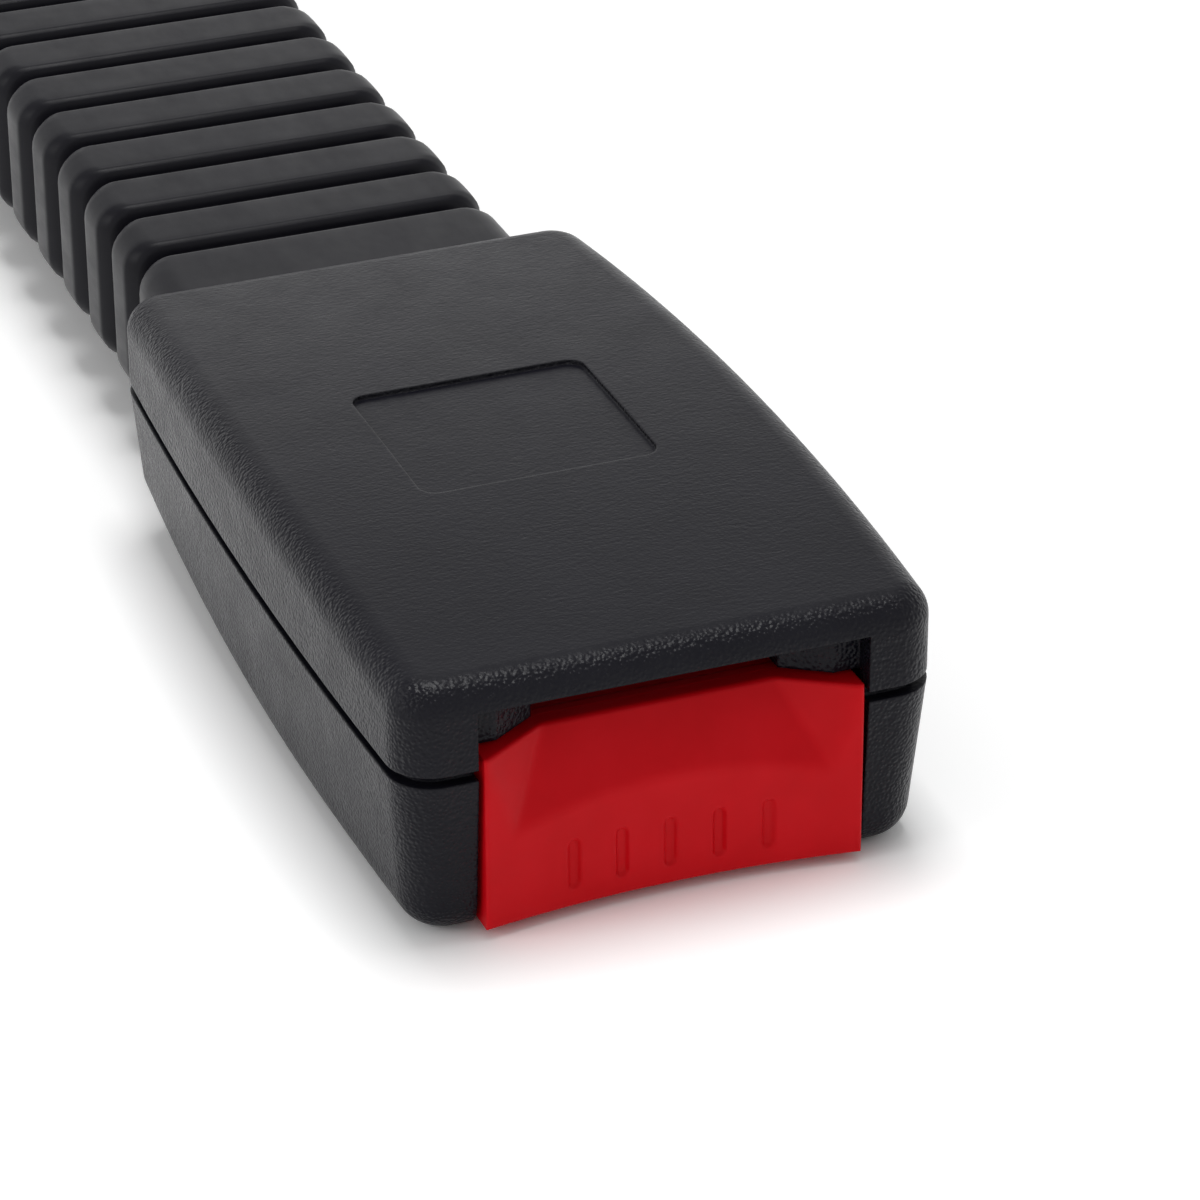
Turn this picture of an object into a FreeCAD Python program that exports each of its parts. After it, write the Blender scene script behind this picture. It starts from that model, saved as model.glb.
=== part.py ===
"""Seat belt extender in millimetres: end-release buckle, ribbed stalk and tongue, as separate pieces.

+X is across the buckle, +Y runs from the button to the tongue, +Z is up, and it rests on Z = 0.
Every piece is drawn with Y = 0 on the housing's front face, and moved along Y at the end, so that
the origin is the middle of the base.
"""
import FreeCAD, Part
import math
import os

V = FreeCAD.Vector

# Housing covers
housing_length = 83.0
housing_front_width = 48.0
housing_middle_width = 49.2
housing_rear_width = 45.6
housing_height = 24.2
crown_rise = 1.7
cover_wall = 2.2
front_corner_radius = 4.0
rear_corner_radius = 4.0
top_edge_radius = 3.0
bottom_edge_radius = 3.4
parting_height = 15.4
parting_gap = 1.0
rim_setback = 1.2
rim_reach = 1.2
lower_draft = 1.2
underside_flat = 24.0
underside_rise = 4.4

# Label recess in the top face
recess_width = 22.1
recess_length = 20.2
recess_start = 30.6
recess_depth = 0.4
recess_corner_radius = 1.6

# Tongue and the slot that takes it
tongue_width = 21.5
tongue_thickness = 2.4
tongue_reach = 33.5
tongue_tip_radius = 4.5
tongue_tip_bar = 8.0
tongue_window_length = 10.5
tongue_window_width = 12.6
tongue_base_length = 10.0
tongue_taper_length = 10.0
slot_side_gap = 0.35
slot_lip = 2.5
slot_block_step = 1.2
slot_block_depth = 5.4
slot_block_width = 7.5

# Press button
button_width = 34.0
button_bottom = 0.9
button_top = 17.2
button_depth = 6.6
button_proud = 0.2
button_side_gap = 0.45
button_travel = 5.0
button_hollow = 1.4
button_wall = 2.0
funnel_low = 9.9
funnel_low_width = 28.0
funnel_top_width = 20.8
funnel_depth = 4.1
shoulder_width = 3.3
shoulder_depth = 3.2
shoulder_low = 4.0
shoulder_high = 14.4
deck_thickness = 2.0
deck_length = 7.5
rail_width = 2.4
rail_inner = 8.6
rail_lead = 3.5
rail_overrun = 1.5
rail_tail = 2.5

# Pressed steel frame
sheet = 2.0
frame_side_gap = 0.75
frame_front = 12.0
frame_top_end = 51.0
frame_ramp = 8.0
frame_tab_margin = 1.9
frame_wall_bottom = 7.0
frame_wall_front = 17.0
frame_wall_end = 47.0
frame_bend_radius = 1.6
frame_bend_lean = 0.8
frame_shoulder_radius = 1.6
web_slot_start = 64.0
web_slot_length = 4.2
web_bar = 4.8

# Pawl, its pin and spring
latch_nose_start = 20.0
latch_nose_length = 4.0
latch_nose_width = 11.6
latch_nose_rise = 5.5
latch_width = 14.0
latch_thickness = 3.0
latch_pivot_y = 40.0
latch_pivot_z = 12.5
latch_knuckle_radius = 3.0
latch_shoulder = 6.0
latch_swing = 0.2
ear_y = 27.0
ear_drop = 0.3
ear_radius = 1.3
ear_gap = 0.25
pin_radius = 1.5
pin_head_radius = 2.4
pin_head_thickness = 1.0
clip_thickness = 0.8
clip_opening = 1.8
pin_groove_radius = 1.05
pin_head_edge = 0.4
pivot_clearance = 0.05

# Ejector
ejector_front = 22.0
ejector_length = 12.0
ejector_bridge = 3.0
ejector_leg = 3.6
ejector_tab = 1.8
ejector_tab_start = 26.0
ejector_tab_length = 5.0
ejector_tab_height = 1.5
ejector_travel = 10.0
ejector_lug_width = 5.2
ejector_lug_thickness = 1.5
ejector_edge_radius = 0.6
ejector_boss_width = 5.8
ejector_boss_length = 2.4

# Coil springs
button_spring_radius = 2.0
button_spring_wire = 0.6
button_spring_turns = 7
button_spring_height = 8.0
latch_spring_radius = 2.1
latch_spring_wire = 0.6
latch_spring_turns = 4
latch_spring_y = 24.5
ejector_spring_radius = 1.6
ejector_spring_wire = 0.45
ejector_spring_turns = 8
coil_steps = 12
coil_sides = 6

# Seats inside the lower cover
abutment_start = 23.8
abutment_thickness = 1.6
post_radius = 1.4
post_offset = 19.2
post_front_y = 29.0
post_rear_y = 62.0
post_reach = 3.0
post_tube_wall = 0.8
seat_rib_width = 1.6
press_rib_front = 15.0
press_rib_rear = 45.0
peg_radius = 1.2
peg_length = 2.2

# Webbing, its guards and seams
webbing_width = 30.0
webbing_ply = 1.2
webbing_gap = 0.1
web_plane = 14.4
web_joining_run = 10.0
guard_thickness = 0.8
stitch_rows = 5
stitch_pitch = 2.6
stitch_length = 24.0
stitch_thickness = 0.5
stitch_rise = 0.3

# Ribbed sleeve
sleeve_width = 36.8
sleeve_bottom = 6.1
sleeve_top = 22.7
sleeve_corner_radius = 3.0
sleeve_wall = 2.6
sleeve_neck = 9.8
rib_count = 11
rib_pitch = 9.4
groove_width = 2.3
groove_depth = 1.5
rib_shoulder = 0.7
groove_corner_radius = 4.5
sleeve_insert = 6.0
sleeve_ear = 1.2
sleeve_ear_length = 2.0
sleeve_ear_low = 9.5
sleeve_ear_high = 19.5

# Plastic grip on the tongue
grip_length = 36.0
grip_ear_room = 0.8
grip_waist = 1.0
grip_end_width = 32.0
grip_height = 24.2
grip_end_thickness = 11.6
grip_foot = 12.0
grip_corner_radius = 3.0
grip_edge_radius = 2.0
grip_wall = 2.2
grip_split = 0.1
grip_pin_y = 28.5
grip_pin_x = 13.8
grip_pin_reach = 3.0
grip_chamber = 24.0
grip_rib_width = 4.0
grip_to_bar = 10.5

# Gaps between pieces
fit_gap = 0.15
slide_gap = 0.4
tongue_gap = 0.35
post_clearance = 0.05
plate_clearance = 0.05

# Places that follow from the sizes above
parting_top = parting_height + parting_gap
jamb_half = button_width / 2 + button_side_gap
lip_underside = housing_height - slot_lip
slot_half = tongue_width / 2 + slot_side_gap
tongue_low = button_top + tongue_gap
plate_low = tongue_low + tongue_thickness + tongue_gap - plate_clearance
plate_top = plate_low + sheet
notch_depth = button_depth + button_travel + slide_gap
shoulder_front = cover_wall + lower_draft + slide_gap
shoulder_rear = shoulder_front + shoulder_depth
shoulder_half = button_width / 2 + shoulder_width
spring_offset = shoulder_half - button_spring_radius - button_spring_wire / 2 + plate_clearance
frame_width = 2 * (spring_offset - button_spring_radius - button_spring_wire / 2 - frame_side_gap)
frame_inner = frame_width / 2 - sheet
web_bar_start = web_slot_start + web_slot_length
web_bar_end = web_bar_start + web_bar
web_slot_half = webbing_width / 2 + slide_gap
frame_tab_width = 2 * (web_slot_half + frame_tab_margin)
latch_low = latch_pivot_z - latch_thickness / 2
latch_top = latch_low + latch_thickness
ear_z = latch_pivot_z - ear_drop
ear_reach = latch_pivot_y - ear_y
rail_slope = ear_reach * math.sin(latch_swing) / button_travel
ejector_low = tongue_low + plate_clearance
ejector_high = plate_low - tongue_gap
ejector_rear = ejector_front + ejector_length
ejector_spring_z = ejector_high - ejector_spring_radius - ejector_spring_wire / 2
ejector_boss_low = ejector_spring_z - ejector_spring_radius
lug_start = frame_top_end - ejector_lug_thickness
sleeve_half = sleeve_width / 2
sleeve_start = housing_length - cover_wall - lower_draft / 2 - slide_gap - sleeve_ear_length
grip_start = housing_length + sleeve_neck + rib_count * rib_pitch
grip_end = grip_start + grip_length
sleeve_end = grip_start + sleeve_insert
grip_collar_width = 2 * (sleeve_half + sleeve_ear + slide_gap + grip_wall + grip_ear_room)
grip_middle_width = grip_collar_width - 2 * grip_waist
tongue_start = grip_start + grip_to_bar
tongue_bar_end = tongue_start + web_bar
tongue_slot_end = tongue_bar_end + web_slot_length
tongue_shoulder = tongue_start + tongue_base_length
tongue_tip = grip_end + tongue_reach
tongue_plate_low = web_plane - tongue_thickness / 2
tongue_plate_top = web_plane + tongue_thickness / 2
loop_inner = sheet / 2 + guard_thickness + fit_gap
front_loop_y = web_bar_start + sheet / 2
rear_loop_y = tongue_bar_end - tongue_thickness / 2
base_middle = (tongue_tip - button_proud) / 2

# Drawing aids
beyond = 5.0
overlap = 1.0
tall = 60.0
same = 1e-6
least_radius = 0.8


def box(x_span, y_span, z_span):
    """Block between two limits on each axis."""
    size = [high - low for low, high in (x_span, y_span, z_span)]
    return Part.makeBox(*size, V(x_span[0], y_span[0], z_span[0]))


def across(half, y_span, z_span):
    """Block that is centred on the middle plane."""
    return box((-half, half), y_span, z_span)


def mirrored(shape):
    """The same shape on the other side of the middle plane."""
    return shape.mirror(V(0, 0, 0), V(1, 0, 0))


def pair(shape):
    """A shape and its mirror image, as one tool for a cut or a join."""
    return Part.makeCompound([shape, mirrored(shape)])


def join(shape, *others):
    """Shapes joined into one solid, with leftover seams taken out."""
    return shape.fuse(list(others)).removeSplitter()


def profile_yz(points, x_low, x_high):
    """Side profile of straight lines, drawn in Y and Z, and extruded across X."""
    corners = [V(x_low, y, z) for y, z in points]
    outline = Part.makePolygon(corners + corners[:1])
    return Part.Face(outline).extrude(V(x_high - x_low, 0, 0))


def edges_along(shape, direction, test=lambda middle: True):
    """Straight edges that run in one direction and whose middle passes a test."""
    found = []
    for edge in shape.Edges:
        if len(edge.Vertexes) != 2:
            continue
        run = edge.Vertexes[1].Point.sub(edge.Vertexes[0].Point)
        if run.cross(direction).Length < same * 10 and test(edge.CenterOfMass):
            found.append(edge)
    return found


def rim_edges(faces):
    """Edges round a set of faces, without those that two of the faces share."""
    every = [edge for face in faces for edge in face.Edges]
    return [edge for edge in every if sum(edge.isSame(other) for other in every) == 1]


def bulged_outline(widths, y_span, z):
    """Outline with straight ends and sides that bow out, from widths at the start, middle and end."""
    near, middle, far = (width / 2 for width in widths)
    y_near, y_far = y_span
    y_middle = (y_near + y_far) / 2
    right_side = Part.Arc(V(near, y_near, z), V(middle, y_middle, z), V(far, y_far, z))
    left_side = Part.Arc(V(-far, y_far, z), V(-middle, y_middle, z), V(-near, y_near, z))
    front = Part.LineSegment(V(-near, y_near, z), V(near, y_near, z))
    rear = Part.LineSegment(V(far, y_far, z), V(-far, y_far, z))
    return Part.Wire([side.toShape() for side in (front, right_side, rear, left_side)])


def plan_prism(inset, z_low, z_high, tighten=None):
    """Housing outline moved in by an inset, between two heights, with corners that tighten as it shrinks."""
    tighten = inset if tighten is None else tighten
    widths = [w - 2 * inset for w in (housing_front_width, housing_middle_width, housing_rear_width)]
    outline = bulged_outline(widths, (inset, housing_length - inset), z_low)
    prism = Part.Face(outline).extrude(V(0, 0, z_high - z_low))
    middle = housing_length / 2
    upright = V(0, 0, 1)
    prism = prism.makeFillet(max(front_corner_radius - tighten, least_radius),
                             edges_along(prism, upright, lambda m: m.y < middle))
    return prism.makeFillet(max(rear_corner_radius - tighten, least_radius),
                            edges_along(prism, upright, lambda m: m.y > middle))


def plan_wire(inset, z, tighten):
    """Rounded housing outline at one height."""
    prism = plan_prism(inset, z, z + 1, tighten)
    return min(prism.Faces, key=lambda face: face.CenterOfMass.z).OuterWire


def crown_radius():
    """Radius of the top face's long curve."""
    return (housing_length ** 2 / 4 + crown_rise ** 2) / (2 * crown_rise)


def crown_height(y):
    """Height of the top face at one place along the housing."""
    radius = crown_radius()
    return housing_height + crown_rise - radius + math.sqrt(radius ** 2 - (y - housing_length / 2) ** 2)


def under_crown(drop):
    """Everything below the top face's curve, lowered by a drop."""
    start, end = -beyond, housing_length + beyond
    middle = housing_length / 2
    arc = Part.Arc(V(0, start, crown_height(start) - drop), V(0, middle, crown_height(middle) - drop),
                   V(0, end, crown_height(end) - drop)).toShape()
    corners = [V(0, end, crown_height(end) - drop), V(0, end, -beyond), V(0, start, -beyond),
               V(0, start, crown_height(start) - drop)]
    face = Part.Face(Part.Wire([arc, *Part.makePolygon(corners).Edges]))
    face.translate(V(-tall, 0, 0))
    return face.extrude(V(2 * tall, 0, 0))


def underside_height(y):
    """Height of the lower cover's underside, which rises in an arc towards the sleeve."""
    run = housing_length - underside_flat
    radius = (run ** 2 + underside_rise ** 2) / (2 * underside_rise)
    past = max(y - underside_flat, 0.0)
    return radius - math.sqrt(radius ** 2 - past ** 2)


def over_underside(lift):
    """Everything above the underside's curve, raised by a lift."""
    end = housing_length + beyond
    middle = (underside_flat + end) / 2
    arc = Part.Arc(V(0, underside_flat, lift), V(0, middle, underside_height(middle) + lift),
                   V(0, end, underside_height(end) + lift)).toShape()
    corners = [V(0, end, underside_height(end) + lift), V(0, end, tall), V(0, -beyond, tall),
               V(0, -beyond, lift), V(0, underside_flat, lift)]
    face = Part.Face(Part.Wire([arc, *Part.makePolygon(corners).Edges]))
    face.translate(V(-tall, 0, 0))
    return face.extrude(V(2 * tall, 0, 0))


def upper_block(inset, z_low):
    """Form of the upper cover, moved in by an inset."""
    return plan_prism(inset, z_low, tall).common(under_crown(inset))


def lower_block(inset):
    """Form of the lower cover with its drafted sides, moved in by an inset."""
    wires = [plan_wire(inset + lower_draft, 0, inset), plan_wire(inset, parting_height, inset)]
    drafted = Part.makeLoft(wires, True, True)
    return drafted.common(over_underside(inset))


def sleeve_prism(inset, y_span, corner_radius=None):
    """Rounded rectangular bar with the sleeve's section, moved in by an inset."""
    bar = across(sleeve_half - inset, y_span, (sleeve_bottom + inset, sleeve_top - inset))
    corner_radius = corner_radius or max(sleeve_corner_radius - inset, least_radius)
    return bar.makeFillet(corner_radius, edges_along(bar, V(0, 1, 0)))


def mouth(depth, z_span):
    """Gap between the two jambs that the button fills."""
    return across(jamb_half, (-beyond, depth), z_span)


def posts(radius, z_span):
    """Four upright pins that line up the two covers."""
    pins = []
    for y in (post_front_y, post_rear_y):
        for x in (-post_offset, post_offset):
            pins.append(Part.makeCylinder(radius, z_span[1] - z_span[0], V(x, y, z_span[0])))
    return Part.makeCompound(pins)


def make_upper_cover():
    """Crowned top shell with the lip, the slot's side blocks and the label recess."""
    outside = upper_block(0, parting_top)
    top = max(outside.Faces, key=lambda face: face.CenterOfMass.z)
    outside = outside.makeFillet(top_edge_radius, top.Edges)
    cavity = upper_block(cover_wall, parting_top - beyond)
    rim_room = plan_prism(rim_setback - fit_gap, parting_top - beyond, parting_top + rim_reach + fit_gap)
    shell = outside.cut([cavity, rim_room])
    block = slot_block(button_top + slide_gap)
    tube_low = parting_top + fit_gap
    tubes = posts(post_radius + post_clearance + post_tube_wall, (tube_low, housing_height))
    press_rib = [across(frame_inner, (y, y + seat_rib_width), (plate_top, housing_height))
                 for y in (press_rib_front, press_rib_rear)]
    inside = [piece.common(outside) for piece in (pair(block), tubes, *press_rib)]
    shell = join(shell, *inside)
    shell = shell.cut(posts(post_radius + post_clearance, (0, parting_top + post_reach + fit_gap)))
    shell = shell.cut(mouth(cover_wall + plate_clearance, (0, lip_underside)))
    shell = shell.cut(sleeve_prism(-fit_gap, (housing_length - cover_wall - beyond, housing_length + beyond)))
    return shell.cut(label_recess())


def slot_block(z_low):
    """Block at one end of the slot, whose slanted front carries on the button's funnel."""
    slant = (funnel_depth + button_proud) / (button_width - funnel_top_width) * 2
    inner, outer = slot_half, slot_half + slot_block_width
    near_inner, near_outer = (slot_block_step - button_proud + (button_width / 2 - x) * slant for x in (inner, outer))
    rear = near_inner + slot_block_depth
    corners = [V(inner, near_inner, z_low), V(outer, near_outer, z_low), V(outer, rear, z_low), V(inner, rear, z_low)]
    return Part.Face(Part.makePolygon(corners + corners[:1])).extrude(V(0, 0, housing_height - z_low))


def label_recess():
    """Shallow panel in the top face, which follows the crown."""
    panel = across(recess_width / 2, (recess_start, recess_start + recess_length), (parting_top, tall))
    panel = panel.makeFillet(recess_corner_radius, edges_along(panel, V(0, 0, 1)))
    return panel.cut(under_crown(recess_depth))


def make_lower_cover():
    """Bottom shell with the finger notch, rim, spring abutments, posts and frame seats."""
    outside = lower_block(0)
    downward = [face for face in outside.Faces if face.normalAt(0.5, 0.5).z < -0.6]
    outside = outside.makeFillet(bottom_edge_radius, rim_edges(downward))
    shell = outside.cut(lower_block(cover_wall))
    rim_span = (parting_height - cover_wall, parting_top + rim_reach)
    rim = plan_prism(rim_setback, *rim_span).cut(plan_prism(cover_wall, 0, tall))
    inner_span = (spring_offset - button_spring_radius - button_spring_wire, jamb_half + cover_wall * 2)
    abutment = box(inner_span, (abutment_start, abutment_start + abutment_thickness),
                   (cover_wall / 2, button_spring_height + button_spring_radius * 2))
    seat_low, seat_high = frame_inner + (sheet - seat_rib_width) / 2, frame_inner + (sheet + seat_rib_width) / 2
    seat = box((seat_low, seat_high), (frame_wall_front, frame_wall_end), (cover_wall / 2, frame_wall_bottom))
    peg = Part.makeCylinder(peg_radius, cover_wall + peg_length, V(0, latch_spring_y, cover_wall / 2))
    fittings = Part.makeCompound([pair(abutment), pair(seat), peg]).common(plan_prism(lower_draft + overlap, 0, tall))
    pins = posts(post_radius, (cover_wall / 2, parting_top + post_reach)).common(over_underside(cover_wall / 2))
    shell = join(shell, rim, fittings, pins)
    shell = shell.cut(mouth(notch_depth, (-beyond, tall)))
    rear_hole = sleeve_prism(-fit_gap, (housing_length - cover_wall - beyond, housing_length + beyond))
    return shell.cut(rear_hole)


def funnel():
    """Wedge that is cut from the button's top to lead the tongue into the slot."""
    front = -beyond
    growth = (button_top + overlap - funnel_low) / (button_top - funnel_low)
    face_y = button_hollow / 3
    low = V(funnel_low_width / 2, face_y, funnel_low)
    outer = V(low.x + (button_width / 2 - low.x) * growth, low.y - (face_y + button_proud) * growth,
              button_top + overlap)
    inner = V(low.x + (funnel_top_width / 2 - low.x) * growth, low.y + (funnel_depth - face_y) * growth,
              button_top + overlap)
    right = [low, outer, inner, V(low.x, front, low.z), V(outer.x, front, outer.z)]
    left = [V(-point.x, point.y, point.z) for point in right]
    outlines = [
        [left[0], right[0], right[2], left[2]],
        right[:3],
        left[:3],
        [right[4], right[1], right[2], left[2], left[1], left[4]],
        [left[3], right[3], right[0], left[0]],
        [right[3], right[4], right[1], right[0]],
        [left[3], left[4], left[1], left[0]],
        [left[3], right[3], right[4], left[4]],
    ]
    faces = [Part.Face(Part.makePolygon(outline + outline[:1])) for outline in outlines]
    return Part.makeSolid(Part.makeShell(faces))


def make_press_button():
    """End button with a hollow finger face, tongue funnel, shoulders and the rails that push the pawl."""
    half = button_width / 2
    body = across(half, (-button_proud, button_depth), (button_bottom, button_top))
    core = across(half - button_wall, (button_hollow + button_wall, button_depth + overlap),
                  (button_bottom + button_wall, funnel_low + button_wall))
    finger_radius = (half ** 2 + button_hollow ** 2) / (2 * button_hollow)
    finger = Part.makeCylinder(finger_radius, tall,
                               V(0, button_hollow - button_proud - finger_radius, -beyond))
    shoulder = box((half - button_wall, shoulder_half), (shoulder_front, shoulder_rear),
                   (shoulder_low, shoulder_high))
    peg = Part.makeCylinder(peg_radius, peg_length, V(spring_offset, shoulder_rear, button_spring_height),
                            V(0, 1, 0))
    deck_end = button_depth + deck_length
    deck = across(frame_inner - slide_gap, (button_depth - overlap, deck_end),
                  (button_top - deck_thickness, button_top))
    body = body.cut([core, finger, funnel()])
    return join(body, pair(shoulder), pair(peg), deck, pair(button_rail(deck_end)))


def button_rail(deck_end):
    """Rail whose sloping underside pushes the pawl's ear down as the button goes in."""
    over_ear = ear_z + (ear_radius + ear_gap) * math.sqrt(1 + rail_slope ** 2)
    fall = button_travel + rail_overrun
    points = [
        (deck_end - overlap, button_top),
        (ear_y + rail_lead, button_top),
        (ear_y + rail_lead, over_ear + rail_slope * rail_lead),
        (ear_y - fall, over_ear - rail_slope * fall),
        (ear_y - fall - rail_tail, over_ear - rail_slope * fall),
        (deck_end - overlap, button_top - deck_thickness),
    ]
    return profile_yz(points, rail_inner, rail_inner + rail_width)


def make_frame():
    """Steel channel with a ramp down to the webbing tab, pivot holes, ejector slots and spring lug."""
    tab_low, tab_top = web_plane - sheet / 2, web_plane + sheet / 2
    ramp_end = frame_top_end + frame_ramp
    points = [
        (frame_front, plate_low), (frame_top_end - frame_bend_lean, plate_low),
        (ramp_end - frame_bend_lean, tab_low), (web_bar_end, tab_low), (web_bar_end, tab_top),
        (ramp_end, tab_top), (frame_top_end, plate_top), (frame_front, plate_top),
    ]
    plate = profile_yz(points, -frame_width / 2, frame_width / 2)
    bends = edges_along(plate, V(1, 0, 0), lambda m: frame_top_end - sheet < m.y < ramp_end + sheet)
    plate = plate.makeFillet(frame_bend_radius, bends)
    tab = across(frame_tab_width / 2, (web_slot_start - sheet, web_bar_end), (tab_low, tab_top))
    tab = tab.makeFillet(sheet, edges_along(tab, V(0, 0, 1)))
    wall = box((frame_inner, frame_inner + sheet), (frame_wall_front, frame_wall_end),
               (frame_wall_bottom, plate_top - sheet / 2))
    wall = wall.makeFillet(sheet, edges_along(wall, V(1, 0, 0), lambda m: m.z < plate_low))
    lug = across(ejector_lug_width / 2, (lug_start, frame_top_end), (ejector_boss_low, plate_low + sheet / 2))
    frame = join(plate, tab, pair(wall), lug)
    frame = frame.makeFillet(frame_shoulder_radius, edges_along(
        frame, V(0, 1, 0), lambda m: m.z > plate_top - same and abs(m.x) > frame_inner))
    tab_middle = (ejector_low + ejector_high) / 2
    guide_half = ejector_tab_height / 2 + fit_gap
    guide = across(frame_width, (ejector_tab_start - fit_gap * 2,
                                 ejector_tab_start + ejector_tab_length + ejector_travel + fit_gap * 2),
                   (tab_middle - guide_half, tab_middle + guide_half))
    pivot = Part.makeCylinder(pin_radius + pivot_clearance, 2 * frame_width,
                              V(-frame_width, latch_pivot_y, latch_pivot_z), V(1, 0, 0))
    slot = across(web_slot_half, (web_slot_start, web_bar_start), (tab_low - overlap, tab_top + overlap))
    slot = slot.makeFillet(sheet / 2, edges_along(slot, V(0, 0, 1)))
    return frame.cut([guide, pivot, slot])


def make_latch():
    """Pawl: a plate on a knuckle, with the nose that holds the tongue and an ear on each side."""
    nose_end = latch_nose_start + latch_nose_length
    shoulder_start = latch_pivot_y - latch_shoulder
    knuckle_half = frame_inner - slide_gap
    plate = across(latch_width / 2, (latch_nose_start, latch_pivot_y), (latch_low, latch_top))
    shoulder = across(knuckle_half, (shoulder_start, latch_pivot_y), (latch_low, latch_top))
    nose_top = latch_top + latch_nose_rise
    nose = profile_yz([(latch_nose_start, latch_top - overlap),
                       (latch_nose_start + latch_nose_length / 2, nose_top),
                       (nose_end, nose_top), (nose_end, latch_top - overlap)],
                      -latch_nose_width / 2, latch_nose_width / 2)
    knuckle = Part.makeCylinder(latch_knuckle_radius, 2 * knuckle_half,
                                V(-knuckle_half, latch_pivot_y, latch_pivot_z), V(1, 0, 0))
    ear_half = rail_inner + rail_width
    ears = Part.makeCylinder(ear_radius, 2 * ear_half, V(-ear_half, ear_y, ear_z), V(1, 0, 0))
    pivot = Part.makeCylinder(pin_radius + pivot_clearance, frame_width,
                              V(-frame_width / 2, latch_pivot_y, latch_pivot_z), V(1, 0, 0))
    return join(plate, shoulder, nose, knuckle, ears).cut(pivot)


def make_latch_pin():
    """Headed pin through both frame walls and the pawl, with a groove for its clip."""
    start = -frame_width / 2
    length = frame_width + clip_thickness + 2 * fit_gap + sheet / 2
    pin = Part.makeCylinder(pin_radius, length, V(start, latch_pivot_y, latch_pivot_z), V(1, 0, 0))
    head = Part.makeCylinder(pin_head_radius, pin_head_thickness,
                             V(start - pin_head_thickness, latch_pivot_y, latch_pivot_z), V(1, 0, 0))
    head = head.makeFillet(pin_head_edge, [head.Edges[0]])
    return join(pin, head).cut(clip_disc(pin_head_radius, pin_groove_radius))


def clip_disc(outer, inner):
    """Flat ring on the latch pin, just outside the frame's right wall."""
    start = V(frame_width / 2 + fit_gap, latch_pivot_y, latch_pivot_z)
    ring = Part.makeCylinder(outer, clip_thickness, start, V(1, 0, 0))
    return ring.cut(Part.makeCylinder(inner, clip_thickness, start, V(1, 0, 0)))


def make_latch_pin_clip():
    """Open retaining clip that sits in the pin's groove."""
    opening = box((0, frame_width), (latch_pivot_y, latch_pivot_y + beyond),
                  (latch_pivot_z - clip_opening / 2, latch_pivot_z + clip_opening / 2))
    return clip_disc(pin_head_radius, pin_groove_radius + plate_clearance).cut(opening)


def make_ejector():
    """U-shaped slide between the frame walls, with guide tabs and a spring boss."""
    outer = frame_inner - slide_gap
    z_span = (ejector_low, ejector_high)
    leg = box((outer - ejector_leg, outer), (ejector_front, ejector_rear), z_span)
    bridge = across(outer, (ejector_rear - ejector_bridge, ejector_rear), z_span)
    bridge = bridge.makeFillet(ejector_edge_radius,
                               edges_along(bridge, V(1, 0, 0), lambda m: m.y > ejector_rear - same))
    tab_middle = (ejector_low + ejector_high) / 2
    tab = box((outer - overlap, outer + ejector_tab), (ejector_tab_start, ejector_tab_start + ejector_tab_length),
              (tab_middle - ejector_tab_height / 2, tab_middle + ejector_tab_height / 2))
    boss = across(ejector_boss_width / 2, (ejector_rear - ejector_boss_length, ejector_rear),
                  (ejector_boss_low, ejector_high))
    peg = Part.makeCylinder(ejector_spring_radius - ejector_spring_wire - fit_gap, peg_length,
                            V(0, ejector_rear, ejector_spring_z), V(0, 1, 0))
    return join(bridge, pair(leg), pair(tab), boss, peg)


def coil(radius, wire, turns, length, start, direction):
    """Compression spring between two flat seats, of wire with flat facets."""
    steps = turns * coil_steps
    rise = (length - wire) / steps
    turn = 2 * math.pi / coil_steps
    path = Part.makePolygon([V(radius * math.cos(turn * step), radius * math.sin(turn * step),
                               wire / 2 + rise * step) for step in range(steps + 1)])
    corner = 2 * math.pi / coil_sides
    section = Part.makePolygon([V(radius + wire / 2 * math.cos(corner * side), 0,
                                  wire / 2 + wire / 2 * math.sin(corner * side))
                                for side in range(coil_sides + 1)])
    pipe = Part.BRepOffsetAPI.MakePipeShell(path)
    pipe.setTransitionMode(1)
    pipe.add(section)
    pipe.build()
    pipe.makeSolid()
    spring = pipe.shape()
    spring.Placement = FreeCAD.Placement(start, FreeCAD.Rotation(V(0, 0, 1), direction))
    return spring


def make_button_spring(side):
    """Return spring between a button shoulder and its abutment."""
    return coil(button_spring_radius, button_spring_wire, button_spring_turns,
                abutment_start - shoulder_rear - 2 * plate_clearance,
                V(side * spring_offset, shoulder_rear + plate_clearance, button_spring_height), V(0, 1, 0))


def make_latch_spring():
    """Spring that stands on the floor peg and lifts the pawl."""
    floor = cover_wall + underside_height(latch_spring_y) + plate_clearance
    return coil(latch_spring_radius, latch_spring_wire, latch_spring_turns,
                latch_low - floor - plate_clearance, V(0, latch_spring_y, floor), V(0, 0, 1))


def make_ejector_spring():
    """Spring between the ejector's boss and the frame's lug."""
    return coil(ejector_spring_radius, ejector_spring_wire, ejector_spring_turns,
                lug_start - ejector_rear - 2 * plate_clearance,
                V(0, ejector_rear + plate_clearance, ejector_spring_z), V(0, 1, 0))


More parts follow.
